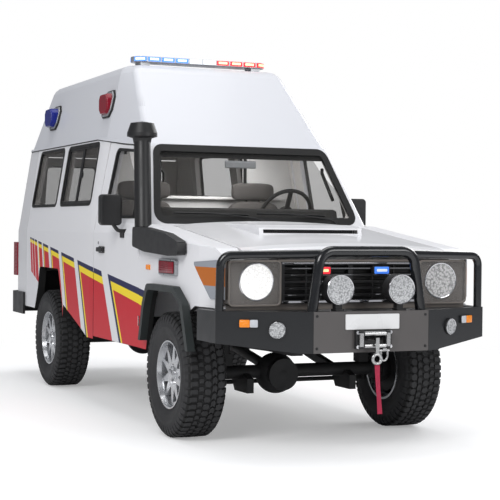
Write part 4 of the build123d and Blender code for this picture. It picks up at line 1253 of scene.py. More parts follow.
def front_lay(face_y: float) -> Lay:
    """Places on an upright plane that faces forwards, from (x, z, proud)."""
    return lambda x, z, proud: spot(x, face_y - proud, z)


def rear_lay(x: float, z: float, proud: float) -> Vector:
    """A place on the rear wall."""
    return spot(x, BODY.rear_y(z) + proud, z)


def screen_lay(x: float, z: float, proud: float) -> Vector:
    """A place on the windscreen's plane.

    Args:
        x: its distance across.
        z: its height.
        proud: how far it stands off the glass.

    Returns:
        The place.
    """
    (y0, z0), (y1, z1) = BODY.screen_foot, BODY.screen_head
    length = hypot(y1 - y0, z1 - z0)
    return spot(x, BODY.screen_y(z) - proud * (z1 - z0) / length, z + proud * (y1 - y0) / length)


def wing_bar_lay(side: int, place: Place) -> Lay:
    """Places on the bull bar's sloping wing from (outboard, up, proud).

    Args:
        side: -1 on the right and 1 on the left.
        place: the point on the wing that they count from.

    Returns:
        The surface's function.
    """
    x0, y0, z0 = place
    across, back = WING_RUN

    def lay(u: float, v: float, proud: float) -> Vector:
        """One place on the wing."""
        return spot(side * (x0 + across * u + back * proud), y0 + back * u - across * proud, z0 + v)

    return lay


def square(u0: float, u1: float, v0: float, v1: float) -> tuple[Flat, ...]:
    """A square outline from its limits."""
    return ((u0, v0), (u1, v0), (u1, v1), (u0, v1))


def box_outline(u0: float, u1: float, v0: float, v1: float, radius: float) -> list[Flat]:
    """A rounded box outline from its limits."""
    return rounded(square(u0, u1, v0, v1), radius)


def around(middle: Flat, half_u: float, half_v: float, radius: float) -> list[Flat]:
    """A rounded box outline round its middle."""
    u, v = middle
    return box_outline(u - half_u, u + half_u, v - half_v, v + half_v, radius)


def disc_outline(radius: float, sides: int = 28, middle: Flat = (0.0, 0.0)) -> list[Flat]:
    """A round outline."""
    return [(middle[0] + radius * cos(tau * k / sides), middle[1] + radius * sin(tau * k / sides))
            for k in range(sides)]


def slab(lay: Lay, outline: Sequence[Flat], low: float, high: float, draft: Draft | None = None) -> Draft:
    """A sheet of an outline between two heights over a surface."""
    return (draft or Draft()).strip([[lay(u, v, height) for u, v in outline] for height in (low, high)])


def rim(lay: Lay, outline: Sequence[Flat], width: float, low: float, high: float) -> Draft:
    """A frame round an outline, between two heights over a surface.

    Args:
        lay: the surface.
        outline: the frame's inner edge on it.
        width: how far it reaches outwards.
        low: its underside's height.
        high: its top's height.

    Returns:
        The draft.
    """
    outer = offset(outline, width)
    rows = ((outline, low), (outer, low), (outer, high), (outline, high))
    rings = [[lay(u, v, height) for u, v in points] for points, height in rows]
    return Draft().strip(rings, run_closed=True)


def domed(lay: Lay, outline: Sequence[Flat], low: float, high: float, lean: float) -> Draft:
    """A sheet whose edge leans in, as a moulded lens does.

    Args:
        lay: the surface it lies on.
        outline: its edge.
        low: its back's height over the surface.
        high: its front's height over the surface.
        lean: how far its front edge is drawn in.

    Returns:
        The draft.
    """
    inner = offset(outline, -lean)
    rows = ((outline, low), (outline, low + (high - low) * 0.55), (inner, high))
    return Draft().strip([[lay(u, v, height) for u, v in points] for points, height in rows])


@dataclass
class Wheels:
    """What shows inside each alloy rim."""

    nut_count: int = 5
    nut_ring: float = 0.056
    nut_radius: float = 0.0095
    nut_face: float = 0.078
    # The dark disc is painted shade inside the rim.
    shade_disc_face: float = 0.016
    shade_disc_radii: Flat = (0.078, 0.174)

    def nut(self) -> bpy.types.Mesh:
        """One wheel nut, drawn at its place over the wheel's middle.

        Returns:
            The mesh.
        """
        profile = ((-0.010, 0.0), (-0.010, self.nut_radius), (0.006, self.nut_radius),
                   (0.010, self.nut_radius * 0.7), (0.010, 0.0))
        place = Vector((self.nut_face, 0, self.nut_ring))
        return Draft().turned(profile, place, Vector((1, 0, 0)), 6).plain("wheel_nut")

    def place(self) -> None:
        """Set the nuts, the cap and the dark disc, a sheet of painted shade inside the rim, on all four
        wheels.
        """
        axis = Vector((1, 0, 0))
        origin = Vector((0, 0, 0))
        step = Vector((tau / self.nut_count, 0, 0))
        nuts = repeater(Repeat.RING).mesh("nuts", self.nut(), self.nut_count, origin, step, Kit.CHROME)
        low, high = self.shade_disc_radii
        ring = ((0.0, low), (0.0, high), (0.006, high), (0.006, low), (0.0, low))
        disc = Draft().turned([(self.shade_disc_face + x, r) for x, r in ring], origin, axis, 40).plain("disc")
        cap = ((0.099, 0.0), (0.099, 0.036), (0.1015, 0.033), (0.103, 0.028), (0.103, 0.0))
        caps = Draft().turned(cap, origin, axis, 28).plain("cap")
        for end in ("front", "rear"):
            for name, side in SIDES:
                body = f"wheel_{end}_{name}"
                centre = middle_of(f"tyre_{end}_{name}")
                matrix = Matrix.Translation(centre) @ Matrix.Diagonal((side, 1, 1, 1))
                for label, mesh, finish in (("nuts", nuts, Kit.CHROME), ("disc", disc, Kit.RIM_SHADE),
                                            ("cap", caps, Kit.RIM)):
                    piece = f"rim_{end}_{name}_{label}"
                    finish_piece(piece, moved(mesh, piece, matrix), finish, body)


@dataclass
class FrontLamps:
    """Headlamps, corner lamps, driving lamps and the lamps in the bull bar."""

    block: Limits = (0.450, 0.772, 0.836, 1.092)
    block_y: float = -0.752
    bowl: Flat = (0.600, 0.972)
    bowl_radius: float = 0.108
    driving: Limits = (0.195, -1.000, 0.935, 0.086)
    fog: Place = (0.552, -0.939, 0.712)
    fog_radius: float = 0.047
    indicator: Place = (0.698, -0.878, 0.748)
    indicator_half: float = 0.051
    foot_half: float = 0.028
    foot_z: Flat = (0.8145, 0.826)

    def dish(self, name: str, centre: Vector, axis: Vector, radius: float, lit: Finish) -> None:
        """A round lamp's dish and bright ring on a face.

        Args:
            name: the pieces' first name.
            centre: the face's middle.
            axis: the way it faces.
            radius: the lamp's radius.
            lit: the dish's finish.
        """
        dish = [(0.0012, 0.0), (0.0022, radius * 0.5), (0.0044, radius * 0.93), (0.0002, radius * 0.93),
                (0.0002, 0.0)]
        finish_piece(f"{name}_dish", Draft().turned([*dish, dish[0]], centre, axis, 40), lit)
        ring = [(0.0002, radius * 0.92), (0.0002, radius), (0.007, radius), (0.009, radius * 0.97),
                (0.007, radius * 0.93)]
        finish_piece(f"{name}_ring", Draft().turned([*ring, ring[0]], centre, axis, 40), Kit.CHROME)

    def headlamp(self, name: str, side: int) -> None:
        """One headlamp: taupe housing face, lit dish, clear cover and painted frame.

        Args:
            name: the side's name.
            side: -1 on the right and 1 on the left.
        """
        lay = front_lay(self.block_y)
        x0, x1, z0, z1 = self.block
        edge = box_outline(x0 + 0.004, x1 - 0.004, z0 + 0.004, z1 - 0.004, 0.026)
        outline = [(side * x, z) for x, z in edge]
        centre = spot(side * self.bowl[0], self.block_y - 0.001, self.bowl[1])
        lit = Kit.REFLECTOR if side < 0 else Kit.UNLIT_REFLECTOR
        self.dish(f"headlamp_{name}", centre, Vector((0, -1, 0)), self.bowl_radius, lit)
        cover = domed(lay, outline, 0.011, 0.0165, 0.008)
        finish_piece(f"headlamp_{name}_cover", cover, Kit.CLEAR)
        frame_edge = rim(lay, offset(outline, -0.004), 0.010, -0.001, 0.015)
        finish_piece(f"headlamp_{name}_edge", frame_edge, Kit.NOSE, bevel=0.0015)

    def small_lamps(self, name: str, side: int) -> None:
        """The driving lamp, the fog lamp and the indicator of one side.

        Args:
            name: the side's name.
            side: -1 on the right and 1 on the left.
        """
        x, y, z, radius = self.driving
        centre = spot(side * x, y - 0.0005, z)
        self.dish(f"driving_{name}", centre, Vector((0, -1, 0)), radius - 0.001, Kit.LED_DISH)
        lay = wing_bar_lay(side, self.fog)
        out = (lay(0, 0, 1.0) - lay(0, 0, 0)).normalized()
        self.dish(f"fog_{name}", lay(0, 0, 0.0085), out, self.fog_radius, Kit.LED_DISH)
        lay = wing_bar_lay(side, self.indicator)
        reach = self.indicator_half
        rows = (("amber", -0.006, reach, Kit.AMBER), ("clear", -reach, -0.007, Kit.PALE_LENS))
        for label, low, high, finish in rows:
            lens = domed(lay, box_outline(low, high, -0.021, 0.021, 0.007), 0.0105, 0.0165, 0.004)
            finish_piece(f"indicator_{name}_{label}", lens, finish)

    def feet(self) -> None:
        """The block under each driving lamp."""
        low, high = self.foot_z
        for name, side in SIDES:
            x, y, _, _ = self.driving
            near, far = side * x - self.foot_half, side * x + self.foot_half
            foot = Draft().box((near, y - 0.004, low), (far, y + 0.060, high))
            finish_piece(f"driving_{name}_foot", foot, Kit.PLASTIC, bevel=0.003)

    def place(self) -> None:
        """Set every lamp at the front."""
        for name, side in SIDES:
            self.headlamp(name, side)
            self.small_lamps(name, side)
        self.feet()


@dataclass
class Nose:
    """Bright strips on the grille, its two flashers and the hood's intake."""

    slat_half: float = 0.424
    slat_low_z: float = 0.8945
    slat_step: float = 0.038
    slat_count: int = 5
    strip_y: float = -0.7505
    strip_outline: tuple[Flat, ...] = ((-0.0010, -0.0012), (0.0016, -0.0012), (0.0016, 0.0014),
                                       (-0.0010, 0.0014))
    wide_half: float = 0.440
    wide_rows: tuple[Flat, ...] = ((0.849, 0.863), (1.071, 1.081))
    upright_places: tuple[float, ...] = (-0.285, -0.145, 0.145, 0.285)
    mouth_z: Flat = (0.867, 1.065)
    flasher: Place = (0.191, -0.757, 1.035)
    intake: Limits = (0.318, -0.1515, 1.2450, 1.2655)
    scoop_bar_y: float = -0.225
    scoop_bar_step: float = 0.012
    scoop_bar_count: int = 53

    def strips(self) -> None:
        """The row of thin bright strips, the wide ones on the frame and the dark core behind them."""
        shape = Draft().strip([[Vector((x, y, z)) for y, z in self.strip_outline]
                               for x in (-self.slat_half, self.slat_half)])
        start, step = spot(0, self.strip_y, self.slat_low_z), Vector((0, 0, self.slat_step))
        finish_row("grille_strips", shape, self.slat_count, start, step, Kit.CHROME)
        wide = Draft()
        for z0, z1 in self.wide_rows:
            wide.box((-self.wide_half, -0.7605, z0), (self.wide_half, -0.756, z1))
        finish_piece("grille_bright_bars", wide, Kit.CHROME, bevel=0.002)
        low, high = self.mouth_z
        bars = Draft()
        for x in self.upright_places:
            bars.box((x - 0.004, -0.7495, low), (x + 0.004, -0.737, high))
        finish_piece("grille_uprights", bars, Kit.PLASTIC, bevel=0.001)
        core = Draft().box((-0.423, -0.7150, low), (0.423, -0.7120, high))
        finish_piece("grille_core", core, Kit.RUBBER)

    def flashers(self) -> None:
        """The lit flashers in front of the grille: red on the right, blue on the left."""
        x, y, z = self.flasher
        lay = front_lay(y)
        finishes = ((Kit.RED_LIT, Kit.WARM_CORE), (Kit.BLUE_LIT, Kit.WHITE_LIT))
        for (name, side), (lens, core) in zip(SIDES, finishes):
            middle = (side * x, z)
            case = slab(lay, around(middle, 0.054, 0.026, 0.008), 0.0, 0.016)
            finish_piece(f"grille_flasher_{name}", case, Kit.PLASTIC, bevel=0.002)
            lit = domed(lay, around(middle, 0.047, 0.020, 0.006), 0.016, 0.021, 0.004)
            finish_piece(f"grille_flasher_{name}_lens", lit, lens)
            tubes = slab(lay, around(middle, 0.034, 0.0075, 0.006), 0.021, 0.0225)
            finish_piece(f"grille_flasher_{name}_core", tubes, core)

    def hood_intake(self) -> None:
        """A dark sheet of painted shade in the scoop's throat, and the bars behind the scoop's mouth."""
        half, y, z0, z1 = self.intake
        # Painted shade: a thin dark sheet filling the scoop's throat.
        shade_sheet = Draft().box((-half, y - 0.002, z0 - 0.0005), (half, y, z1))
        finish_piece("scoop_shade_sheet", shade_sheet, Kit.RUBBER, "hood")
        corners = ((-0.0015, -0.003), (0.0015, -0.003), (0.0015, 0.003), (-0.0015, 0.003))
        bar = Draft().strip([[Vector((x, d, z)) for x, d in corners] for z in (0.0, z1 - z0 - 0.0005)])
        start, step = spot(-half + 0.009, self.scoop_bar_y, z0), Vector((self.scoop_bar_step, 0, 0))
        finish_row("scoop_bars", bar, self.scoop_bar_count, start, step, Kit.PLASTIC, "hood")

    def place(self) -> None:
        """Set the nose's fittings."""
        self.strips()
        self.flashers()
        self.hood_intake()


@dataclass
class BarFittings:
    """What is fixed to the bull bar: plate, fairlead, shackle, bolts and strap."""

    face_y: float = -1.016
    plate: Limits = (-0.170, 0.170, 0.712, 0.798)
    strap_size: Flat = (0.032, 0.275)
    strap_top: Place = (0.002, -1.0788, 0.5145)
    strap_lean: float = 0.020
    strap_half_thick: float = 0.0011
    bolt_half: float = 0.104
    fairlead_face_y: float = -1.040
    corner_bolt_half: float = 0.345
    seam_x: float = 0.3675
    seam_z: Flat = (0.584, 0.813)
    bow: tuple[float, float, float] = (0.062, 0.570, 0.021)
    bow_drop: float = 0.034

    def sign(self) -> None:
        """The bare sign over the fairlead."""
        lay = front_lay(self.face_y)
        outline = box_outline(*self.plate, 0.006)
        finish_piece("front_sign", slab(lay, outline, 0.0, 0.010), Kit.BLANK, bevel=0.0015)

    def bolt_pair(self, name: str, profile: Sequence[Flat], sides: int, first: Vector,
                  finish: Finish) -> None:
        """Two bolt heads, one on each side of the middle."""
        head = Draft().turned(profile, Vector((0, 0, 0)), Vector((0, -1, 0)), sides)
        finish_row(name, head, 2, first, Vector((-2 * first.x, 0, 0)), finish)

    def fairlead(self) -> None:
        """Polished sleeves over the four rollers, and the bolts of their plate."""
        draft = Draft()
        for x in (-0.084, 0.084):
            draft.turned(((0.012, 0.0), (0.012, 0.0148), (0.088, 0.0148), (0.088, 0.0)),
                         spot(x, -1.051, 0.606), Vector((0, 0, 1)), 20)
        for z in (0.622, 0.690):
            draft.turned(((0.022, 0.0), (0.022, 0.0128), (0.158, 0.0128), (0.158, 0.0)),
                         spot(-0.090, -1.050, z), Vector((1, 0, 0)), 20)
        finish_piece("fairlead_sleeves", draft, Kit.STEEL)
        profile = ((0.0, 0.0), (0.0, 0.011), (0.007, 0.011), (0.007, 0.0))
        for name, z in (("fairlead_bolts_low", 0.616), ("fairlead_bolts_top", 0.696)):
            self.bolt_pair(name, profile, 6, spot(-self.bolt_half, self.fairlead_face_y, z), Kit.CHROME)

    def bar_detail(self) -> None:
        """Bolt heads and weld lines on the bar's face, and the tie-down shackle."""
        profile = ((0.0, 0.0), (0.0, 0.008), (0.004, 0.007), (0.005, 0.0))
        for name, z in (("bar_bolts_top", 0.790), ("bar_bolts_low", 0.610)):
            self.bolt_pair(name, profile, 12, spot(-self.corner_bolt_half, self.face_y, z), Kit.CHASSIS)
        seams = Draft()
        low, high = self.seam_z
        for side in (-1, 1):
            x = side * self.seam_x
            seams.box((x - 0.0015, self.face_y - 0.0012, low), (x + 0.0015, self.face_y, high))
        finish_piece("bar_weld_lines", seams, Kit.CHASSIS)
        middle, top, reach = self.bow
        turns = [pi * k / 10 for k in range(11)]
        bow = [spot(middle + reach * cos(turn), -1.046, top - self.bow_drop * sin(turn)) for turn in turns]
        shackle = Draft().tube([spot(0.083, -1.046, 0.600), *bow, spot(0.041, -1.046, 0.600)], 0.006)
        shackle.tube([spot(0.030, -1.046, 0.594), spot(0.094, -1.046, 0.594)], 0.006)
        shackle.box((0.050, -1.054, 0.592), (0.074, -1.017, 0.606))
        finish_piece("bar_shackle", shackle, Kit.STEEL)

    def strap(self) -> None:
        """The webbing strap that hangs from the hook's eye."""
        width, length = self.strap_size
        x, y, z = self.strap_top
        draft = Draft()
        count, thick = 40, self.strap_half_thick
        rings = []
        for index in range(count + 1):
            share = index / count
            drop = length * share
            sway = self.strap_lean * share ** 1.4
            twist = 0.30 * sin(share * pi * 0.9)
            wave = 0.0022 * sin(share * 7.0) * share
            across = Vector((cos(twist), sin(twist), 0.0)) * width / 2
            away = Vector((-sin(twist), cos(twist), 0.0)) * thick
            centre = spot(x + sway, y + wave + 0.001, z - drop * 0.9975)
            rings.append([centre + across * a + away * b for a, b in ((-1, -1), (1, -1), (1, 1), (-1, 1))])
        draft.strip(rings)
        piece = finish_piece("pull_strap", draft, Kit.WEBBING, replaces=("hook_strap",))

    def place(self) -> None:
        """Set every fitting of the bar."""
        self.sign()
        self.fairlead()
        self.bar_detail()
        self.strap()


@dataclass
class Glazing:
    """Rubber seals, window frames, wipers and mirrors."""

    screen: tuple[Flat, ...] = ((-0.706, 1.330), (0.706, 1.330), (0.610, 1.796), (-0.610, 1.796))
    door: tuple[Flat, ...] = ((0.690, 1.338), (0.986, 1.786), (1.250, 1.806), (1.384, 1.816), (1.396, 1.338))
    front: tuple[Flat, ...] = ((1.744, 1.434), (1.772, 1.876), (2.586, 1.876), (2.592, 1.434))
    rear: tuple[Flat, ...] = ((2.726, 1.434), (2.720, 1.876), (3.446, 1.876), (3.508, 1.434))
    back: tuple[Flat, ...] = ((0.090, 1.330), (0.560, 1.330), (0.540, 1.790), (0.090, 1.790))
    corner: float = 0.045
    quarter_post: tuple[Flat, ...] = ((0.838, 1.345), (0.862, 1.345), (0.862, 1.590), (0.838, 1.556))
    top_band: tuple[Flat, ...] = ((-0.615, 1.752), (0.615, 1.752), (0.606, 1.784), (-0.606, 1.784))
    sash_reach: float = 0.012
    sash_half: float = 0.010
    wipers: tuple[tuple[float, float, float], ...] = (
        # pivot, tip, end
        (0.015, -0.600, -0.075),
        (0.560, -0.010, 0.490),
    )

    def seal(self, name: str, lay: Lay, outline: Sequence[Flat], body: str, inner: float = 0.010,
             outer: float = 0.012) -> None:
        """One rubber seal that fills a window's edge."""
        draft = rim(lay, offset(outline, -inner), inner + outer, -0.0155, 0.004)
        finish_piece(name, draft, Kit.RUBBER, body, bevel=0.0025)

    def slider(self, name: str, lay: Lay, outline: Sequence[Flat]) -> None:
        """The dark sliding sash inside a side window.

        Args:
            name: the piece's name.
            lay: the wall's surface.
            outline: the opening's edge.
        """
        edge = offset(outline, -0.010)
        draft = rim(lay, offset(edge, -0.018), 0.018, -0.0155, -0.006)
        low = min(v for _, v in edge)
        high = max(v for _, v in edge)
        middle = sum(u for u, _ in edge) / len(edge)
        for reach in (-self.sash_reach, self.sash_reach):
            near, far = middle + reach - self.sash_half, middle + reach + self.sash_half
            slab(lay, square(near, far, low + 0.008, high - 0.008), -0.0155, -0.005, draft)
        slab(lay, square(middle - 0.05, middle - 0.022, low + 0.19, low + 0.23), -0.0155, -0.002, draft)
        finish_piece(name, draft, Kit.PLASTIC)

    def sides(self) -> None:
        """The seals of all side windows."""
        for name, side in SIDES:
            lay = side_lay(side)
            door = rounded(self.door, self.corner)
            self.seal(f"door_seal_{name}", lay, door, f"front_door_{name}", 0.012, 0.008)
            front, rear = rounded(self.front, self.corner), rounded(self.rear, self.corner)
            self.seal(f"front_window_seal_{name}", lay, front, "root")
            self.seal(f"rear_window_seal_{name}", lay, rear, "root")
            self.slider(f"front_sash_{name}", lay, front)
            post = slab(lay, self.quarter_post, -0.0155, -0.004)
            finish_piece(f"quarter_post_{name}", post, Kit.RUBBER, f"front_door_{name}")
            back = [(side * u, v) for u, v in rounded(self.back, self.corner)]
            self.seal(f"back_seal_{name}", rear_lay, back, f"back_door_{name}")

    def windscreen(self) -> None:
        """The wide seal, the dark top band and both wipers."""
        outline = rounded(self.screen, self.corner)
        self.seal("screen_seal", screen_lay, outline, "root", 0.014, 0.034)
        band = slab(screen_lay, self.top_band, -0.0156, -0.0146)
        finish_piece("screen_band", band, Kit.RUBBER)
        draft = Draft()
        for pivot, tip, end in self.wipers:
            path = [screen_lay(tip, 1.362, 0.012), screen_lay((tip + end) / 2, 1.358, 0.014),
                    screen_lay(end, 1.352, 0.012)]
            draft.sweep(path, ((-0.003, -0.006), (0.003, -0.006), (0.003, 0.006), (-0.003, 0.006)))
            arm = [screen_lay(pivot, 1.312, 0.012), screen_lay(pivot - 0.05, 1.326, 0.022),
                   screen_lay((tip + end) / 2, 1.358, 0.018)]
            draft.tube(arm, 0.0055, 8)
            draft.turned(((0, 0.0), (0, 0.015), (0.020, 0.013), (0.022, 0.0)), screen_lay(pivot, 1.312, 0.0),
                         screen_lay(0, 1.3, 1.0) - screen_lay(0, 1.3, 0.0), 16)
        finish_piece("wipers", draft, Kit.PLASTIC)

    def inside_mirror(self) -> None:
        """The mirror over the dashboard and the handle on the left pillar."""
        draft = Draft()
        draft.box((-0.133, 0.846, 1.680), (0.097, 0.862, 1.730))
        draft.tube([spot(-0.018, 0.862, 1.712), spot(-0.018, 0.905, 1.780)], 0.008)
        finish_piece("inside_mirror", draft, Kit.GREY, bevel=0.006)
        path = [spot(0.664, 0.800, 1.470), spot(0.645, 0.790, 1.500), spot(0.618, 0.880, 1.660),
                spot(0.630, 0.905, 1.690)]
        finish_piece("pillar_handle", Draft().tube(path, 0.012), Kit.PLASTIC)

    def door_mirrors(self) -> None:
        """The glass on the rear of each door mirror."""
        for name, side in SIDES:
            lay: Lay = lambda x, z, proud, side=side: spot(side * x, 0.968 + proud, z)
            pane = slab(lay, box_outline(0.860, 0.976, 1.300, 1.470, 0.018), 0.0, 0.0015)
            finish_piece(f"mirror_pane_{name}", pane, Kit.CHROME, f"front_door_{name}")

    def place(self) -> None:
        """Set all seals and mirrors."""
        self.sides()
        self.windscreen()
        self.inside_mirror()
        self.door_mirrors()


@dataclass
class SideTrim:
    """Handles, locks, marker lamps and flashers on the body's sides."""

    flasher: Limits = (-0.160, 0.130, 0.984, 1.082)
    flasher_x: float = 0.867
    handle: Limits = (1.300, 1.420, 1.100, 1.128)
    lock: Flat = (1.429, 1.160)
    marker: Flat = (0.370, 1.022)

    def place(self) -> None:
        """Set the trim on both sides."""
        for name, side in SIDES:
            body = f"front_door_{name}"
            y0, y1, z0, z1 = self.handle
            low, high = sorted((side * 0.842, side * 0.8675))
            pull = Draft().box((low, y0 - 0.0015, z0 - 0.0015), (high, y1 + 0.0015, z1 + 0.0015))
            finish_piece(f"door_pull_{name}", pull, Kit.PLASTIC, body, bevel=0.005)
            lay = side_lay(side)
            edge = box_outline(y0 - 0.008, y1 + 0.008, z0 - 0.010, z1 + 0.008, 0.012)
            dish = slab(lay, edge, -0.001, 0.002)
            finish_piece(f"door_pull_dish_{name}", dish, Kit.PLASTIC, body)
            lock = slab(lay, disc_outline(0.011, 20, self.lock), -0.001, 0.003)
            finish_piece(f"door_lock_{name}", lock, Kit.CHROME, body)
            wing = flat_side_lay(side, 0.845)
            lens = domed(wing, around(self.marker, 0.033, 0.016, 0.006), -0.001, 0.010, 0.004)
            finish_piece(f"wing_marker_{name}", lens, Kit.AMBER)
            y0, y1, z0, z1 = self.flasher
            face = flat_side_lay(side, self.flasher_x)
            case = box_outline(y0, y1, z0, z1, 0.014)
            finish_piece(f"wing_flasher_{name}_case", slab(face, case, -0.023, 0.0), Kit.BEZEL, bevel=0.003)
            red = box_outline(y0 + 0.016, y1 - 0.016, z0 + 0.014, z1 - 0.014, 0.012)
            finish_piece(f"wing_flasher_{name}_lens", domed(face, red, 0.0, 0.006, 0.004), Kit.RED_LENS)
            finish_piece(f"wing_flasher_{name}_gasket", rim(face, red, 0.004, 0.0, 0.003), Kit.RUBBER)


@dataclass
class RoofLamps:
    """The roof's side lamps and the lit modules of the light bar."""

    face_x: float = 0.715
    places: tuple[tuple[float, Finish, str], ...] = (
        (1.770, Kit.RED_LENS, "front"),
        (3.265, Kit.BLUE_LENS, "rear"),
    )
    half: Flat = (0.125, 0.100)
    corner_cut: float = 0.050
    lamp_z: float = 2.158
    roof: tuple[Level, ...] = (
        # z, front y, front half, middle half, rear half, rear y
        (1.800, 0.884, 0.682, 0.742, 0.716, 3.990),
        (2.432, 1.522, 0.570, 0.606, 0.572, 3.610),
    )
    gutter_line: tuple[Flat, ...] = ((0.700, 1.806), (1.250, 1.848), (1.830, 1.905), (4.200, 1.905))
    bar_face: Limits = (1.620, 1.800, 0.432, 0.086)
    bar_z: Flat = (2.469, 2.501)
    module_pitch: float = 0.107
    module_half: float = 0.0475
    core_share: float = 0.72

    def roof_x(self, y: float, z: float) -> float:
        """The raised roof's half width at a place on its side.

        Args:
            y: the place's distance behind the front axle.
            z: its height.

        Returns:
            The half width.
        """
        (z0, front0, a0, b0, c0, rear0), (z1, front1, a1, b1, c1, rear1) = self.roof
        share = (z - z0) / (z1 - z0)
        front, rear = front0 + (front1 - front0) * share, rear0 + (rear1 - rear0) * share
        near, middle, far = a0 + (a1 - a0) * share, b0 + (b1 - b0) * share, c0 + (c1 - c0) * share
        if y < BODY.middle_y:
            return near + (middle - near) * (y - front) / (BODY.middle_y - front)
        return middle + (far - middle) * (y - BODY.middle_y) / (rear - BODY.middle_y)

    def octagon(self, y: float, inset: float) -> list[Flat]:
        """A side lamp's outline, drawn in by an inset.

        Args:
            y: the lamp's middle.
            inset: how far the outline is drawn in.

        Returns:
            The outline's points.
        """
        a, b, cut, z = self.half[0] - inset, self.half[1] - inset, self.corner_cut - inset * 0.6, self.lamp_z
        corners = ((y - a + cut, z - b), (y + a - cut, z - b), (y + a, z - b + cut), (y + a, z + b - cut),
                   (y + a - cut, z + b), (y - a + cut, z + b), (y - a, z + b - cut), (y - a, z - b + cut))
        return rounded(corners, 0.014, 3)

    def roof_lay(self, side: int) -> Lay:
        """Places on the raised roof's side, from (y, z, proud)."""
        return lambda y, z, proud: spot(side * (self.roof_x(y, z) + proud), y, z)

    def side_lamps(self) -> None:
        """The octagonal base, bright step and deep lens of each side lamp."""
        for name, side in SIDES:
            lay = self.roof_lay(side)
            face = flat_side_lay(side, self.face_x)
            for y, finish, label in self.places:
                edge, step, foot, top = (self.octagon(y, inset) for inset in (0.0, 0.010, 0.026, 0.034))
                first = f"roof_lamp_{label}_{name}"
                base = slab(lay, edge, -0.004, 0.012)
                replaced = ("warning_lamps",) if (label, name) == ("front", "right") else ()
                finish_piece(f"{first}_base", base, Kit.RUBBER, bevel=0.004, replaces=replaced)
                finish_piece(f"{first}_step", slab(lay, step, 0.012, 0.020), Kit.BEZEL, bevel=0.002)
                rings = [[lay(u, v, 0.020) for u, v in foot],
                         [face(u, v, -0.016) for u, v in foot], [face(u, v, 0.0) for u, v in top]]
                finish_piece(f"{first}_lens", Draft().strip(rings), finish)

    def bar_lay(self, end: int) -> Lay:
        """Places round one long face of the light bar, from (along, z, proud).

        Args:
            end: -1 for the front face and 1 for the rear one.

        Returns:
            The surface's function.
        """
        front, rear, straight, corner = self.bar_face
        face = front if end < 0 else rear

        def lay(u: float, z: float, proud: float) -> Vector:
            """One place on the face.

            Args:
                u: its distance along the bar.
                z: its height.
                proud: how far it stands off the face.

            Returns:
                The place.
            """
            if abs(u) <= straight:
                return spot(u, face + end * proud, z)
            sign = 1 if u > 0 else -1
            turn = (abs(u) - straight) / corner
            reach = corner + proud
            x = sign * (straight + reach * sin(turn))
            return spot(x, face + end * (reach * cos(turn) - corner), z)

        return lay

    def module(self, lay: Lay, middle: float, half: float, z0: float, z1: float, low: float, high: float,
               draft: Draft) -> None:
        """One module's lens, bent to the bar's face.

        Args:
            lay: the bar's face.
            middle: the module's middle along it.
            half: half its length.
            z0: its foot.
            z1: its top.
            low: its back's height over the face.
            high: its front's height over the face.
            draft: where it is drawn.
        """
        steps = 6
        points = [middle - half + 2 * half * k / steps for k in range(steps + 1)]
        outline = [*[(u, z0) for u in points], *[(u, z1) for u in points[::-1]]]
        slab(lay, outline, low, high, draft)

    def light_bar(self) -> None:
        """Ten modules on each long face: blue on the right, clear in the middle, red on the left."""
        groups = (
            ("blue", range(0, 4), Kit.BLUE_LIT, Kit.WHITE_LIT),
            ("clear", range(4, 6), Kit.WHITE_LIT, Kit.WHITE_LIT),
            ("red", range(6, 10), Kit.RED_LIT, Kit.WARM_CORE),
        )
        z0, z1 = self.bar_z
        for end, label in ((-1, "front"), (1, "rear")):
            lay = self.bar_lay(end)
            for name, indices, lens_finish, core_finish in groups:
                lens, core = Draft(), Draft()
                for index in indices:
                    middle = (index - 4.5) * self.module_pitch
                    self.module(lay, middle, self.module_half, z0, z1, -0.004, 0.003, lens)
                    half = self.module_half * self.core_share
                    self.module(lay, middle, half, z0 + 0.009, z1 - 0.006, 0.003, 0.004, core)
                finish_piece(f"light_bar_{label}_{name}", lens, lens_finish)
                finish_piece(f"light_bar_{label}_{name}_core", core, core_finish)

    def gutter(self) -> None:
        """The dark seam under the rain gutter, down both sides."""
        for name, side in SIDES:
            path = []
            for y in (0.960, 1.100, 1.250, 1.540, 1.700, 1.790, 1.830, 1.900, 2.500, 3.200, 3.800):
                z = next(z0 + (z1 - z0) * (y - y0) / (y1 - y0)
                         for (y0, z0), (y1, z1) in zip(self.gutter_line, self.gutter_line[1:]) if y <= y1)
                path.append(BODY.on_side(side, y, z - 0.003, 0.002))
            finish_piece(f"gutter_seam_{name}", Draft().tube(path, 0.0045, 8), Kit.RUBBER)

    def place(self) -> None:
        """Set the roof's lamps."""
        self.gutter()
        self.side_lamps()
        self.light_bar()


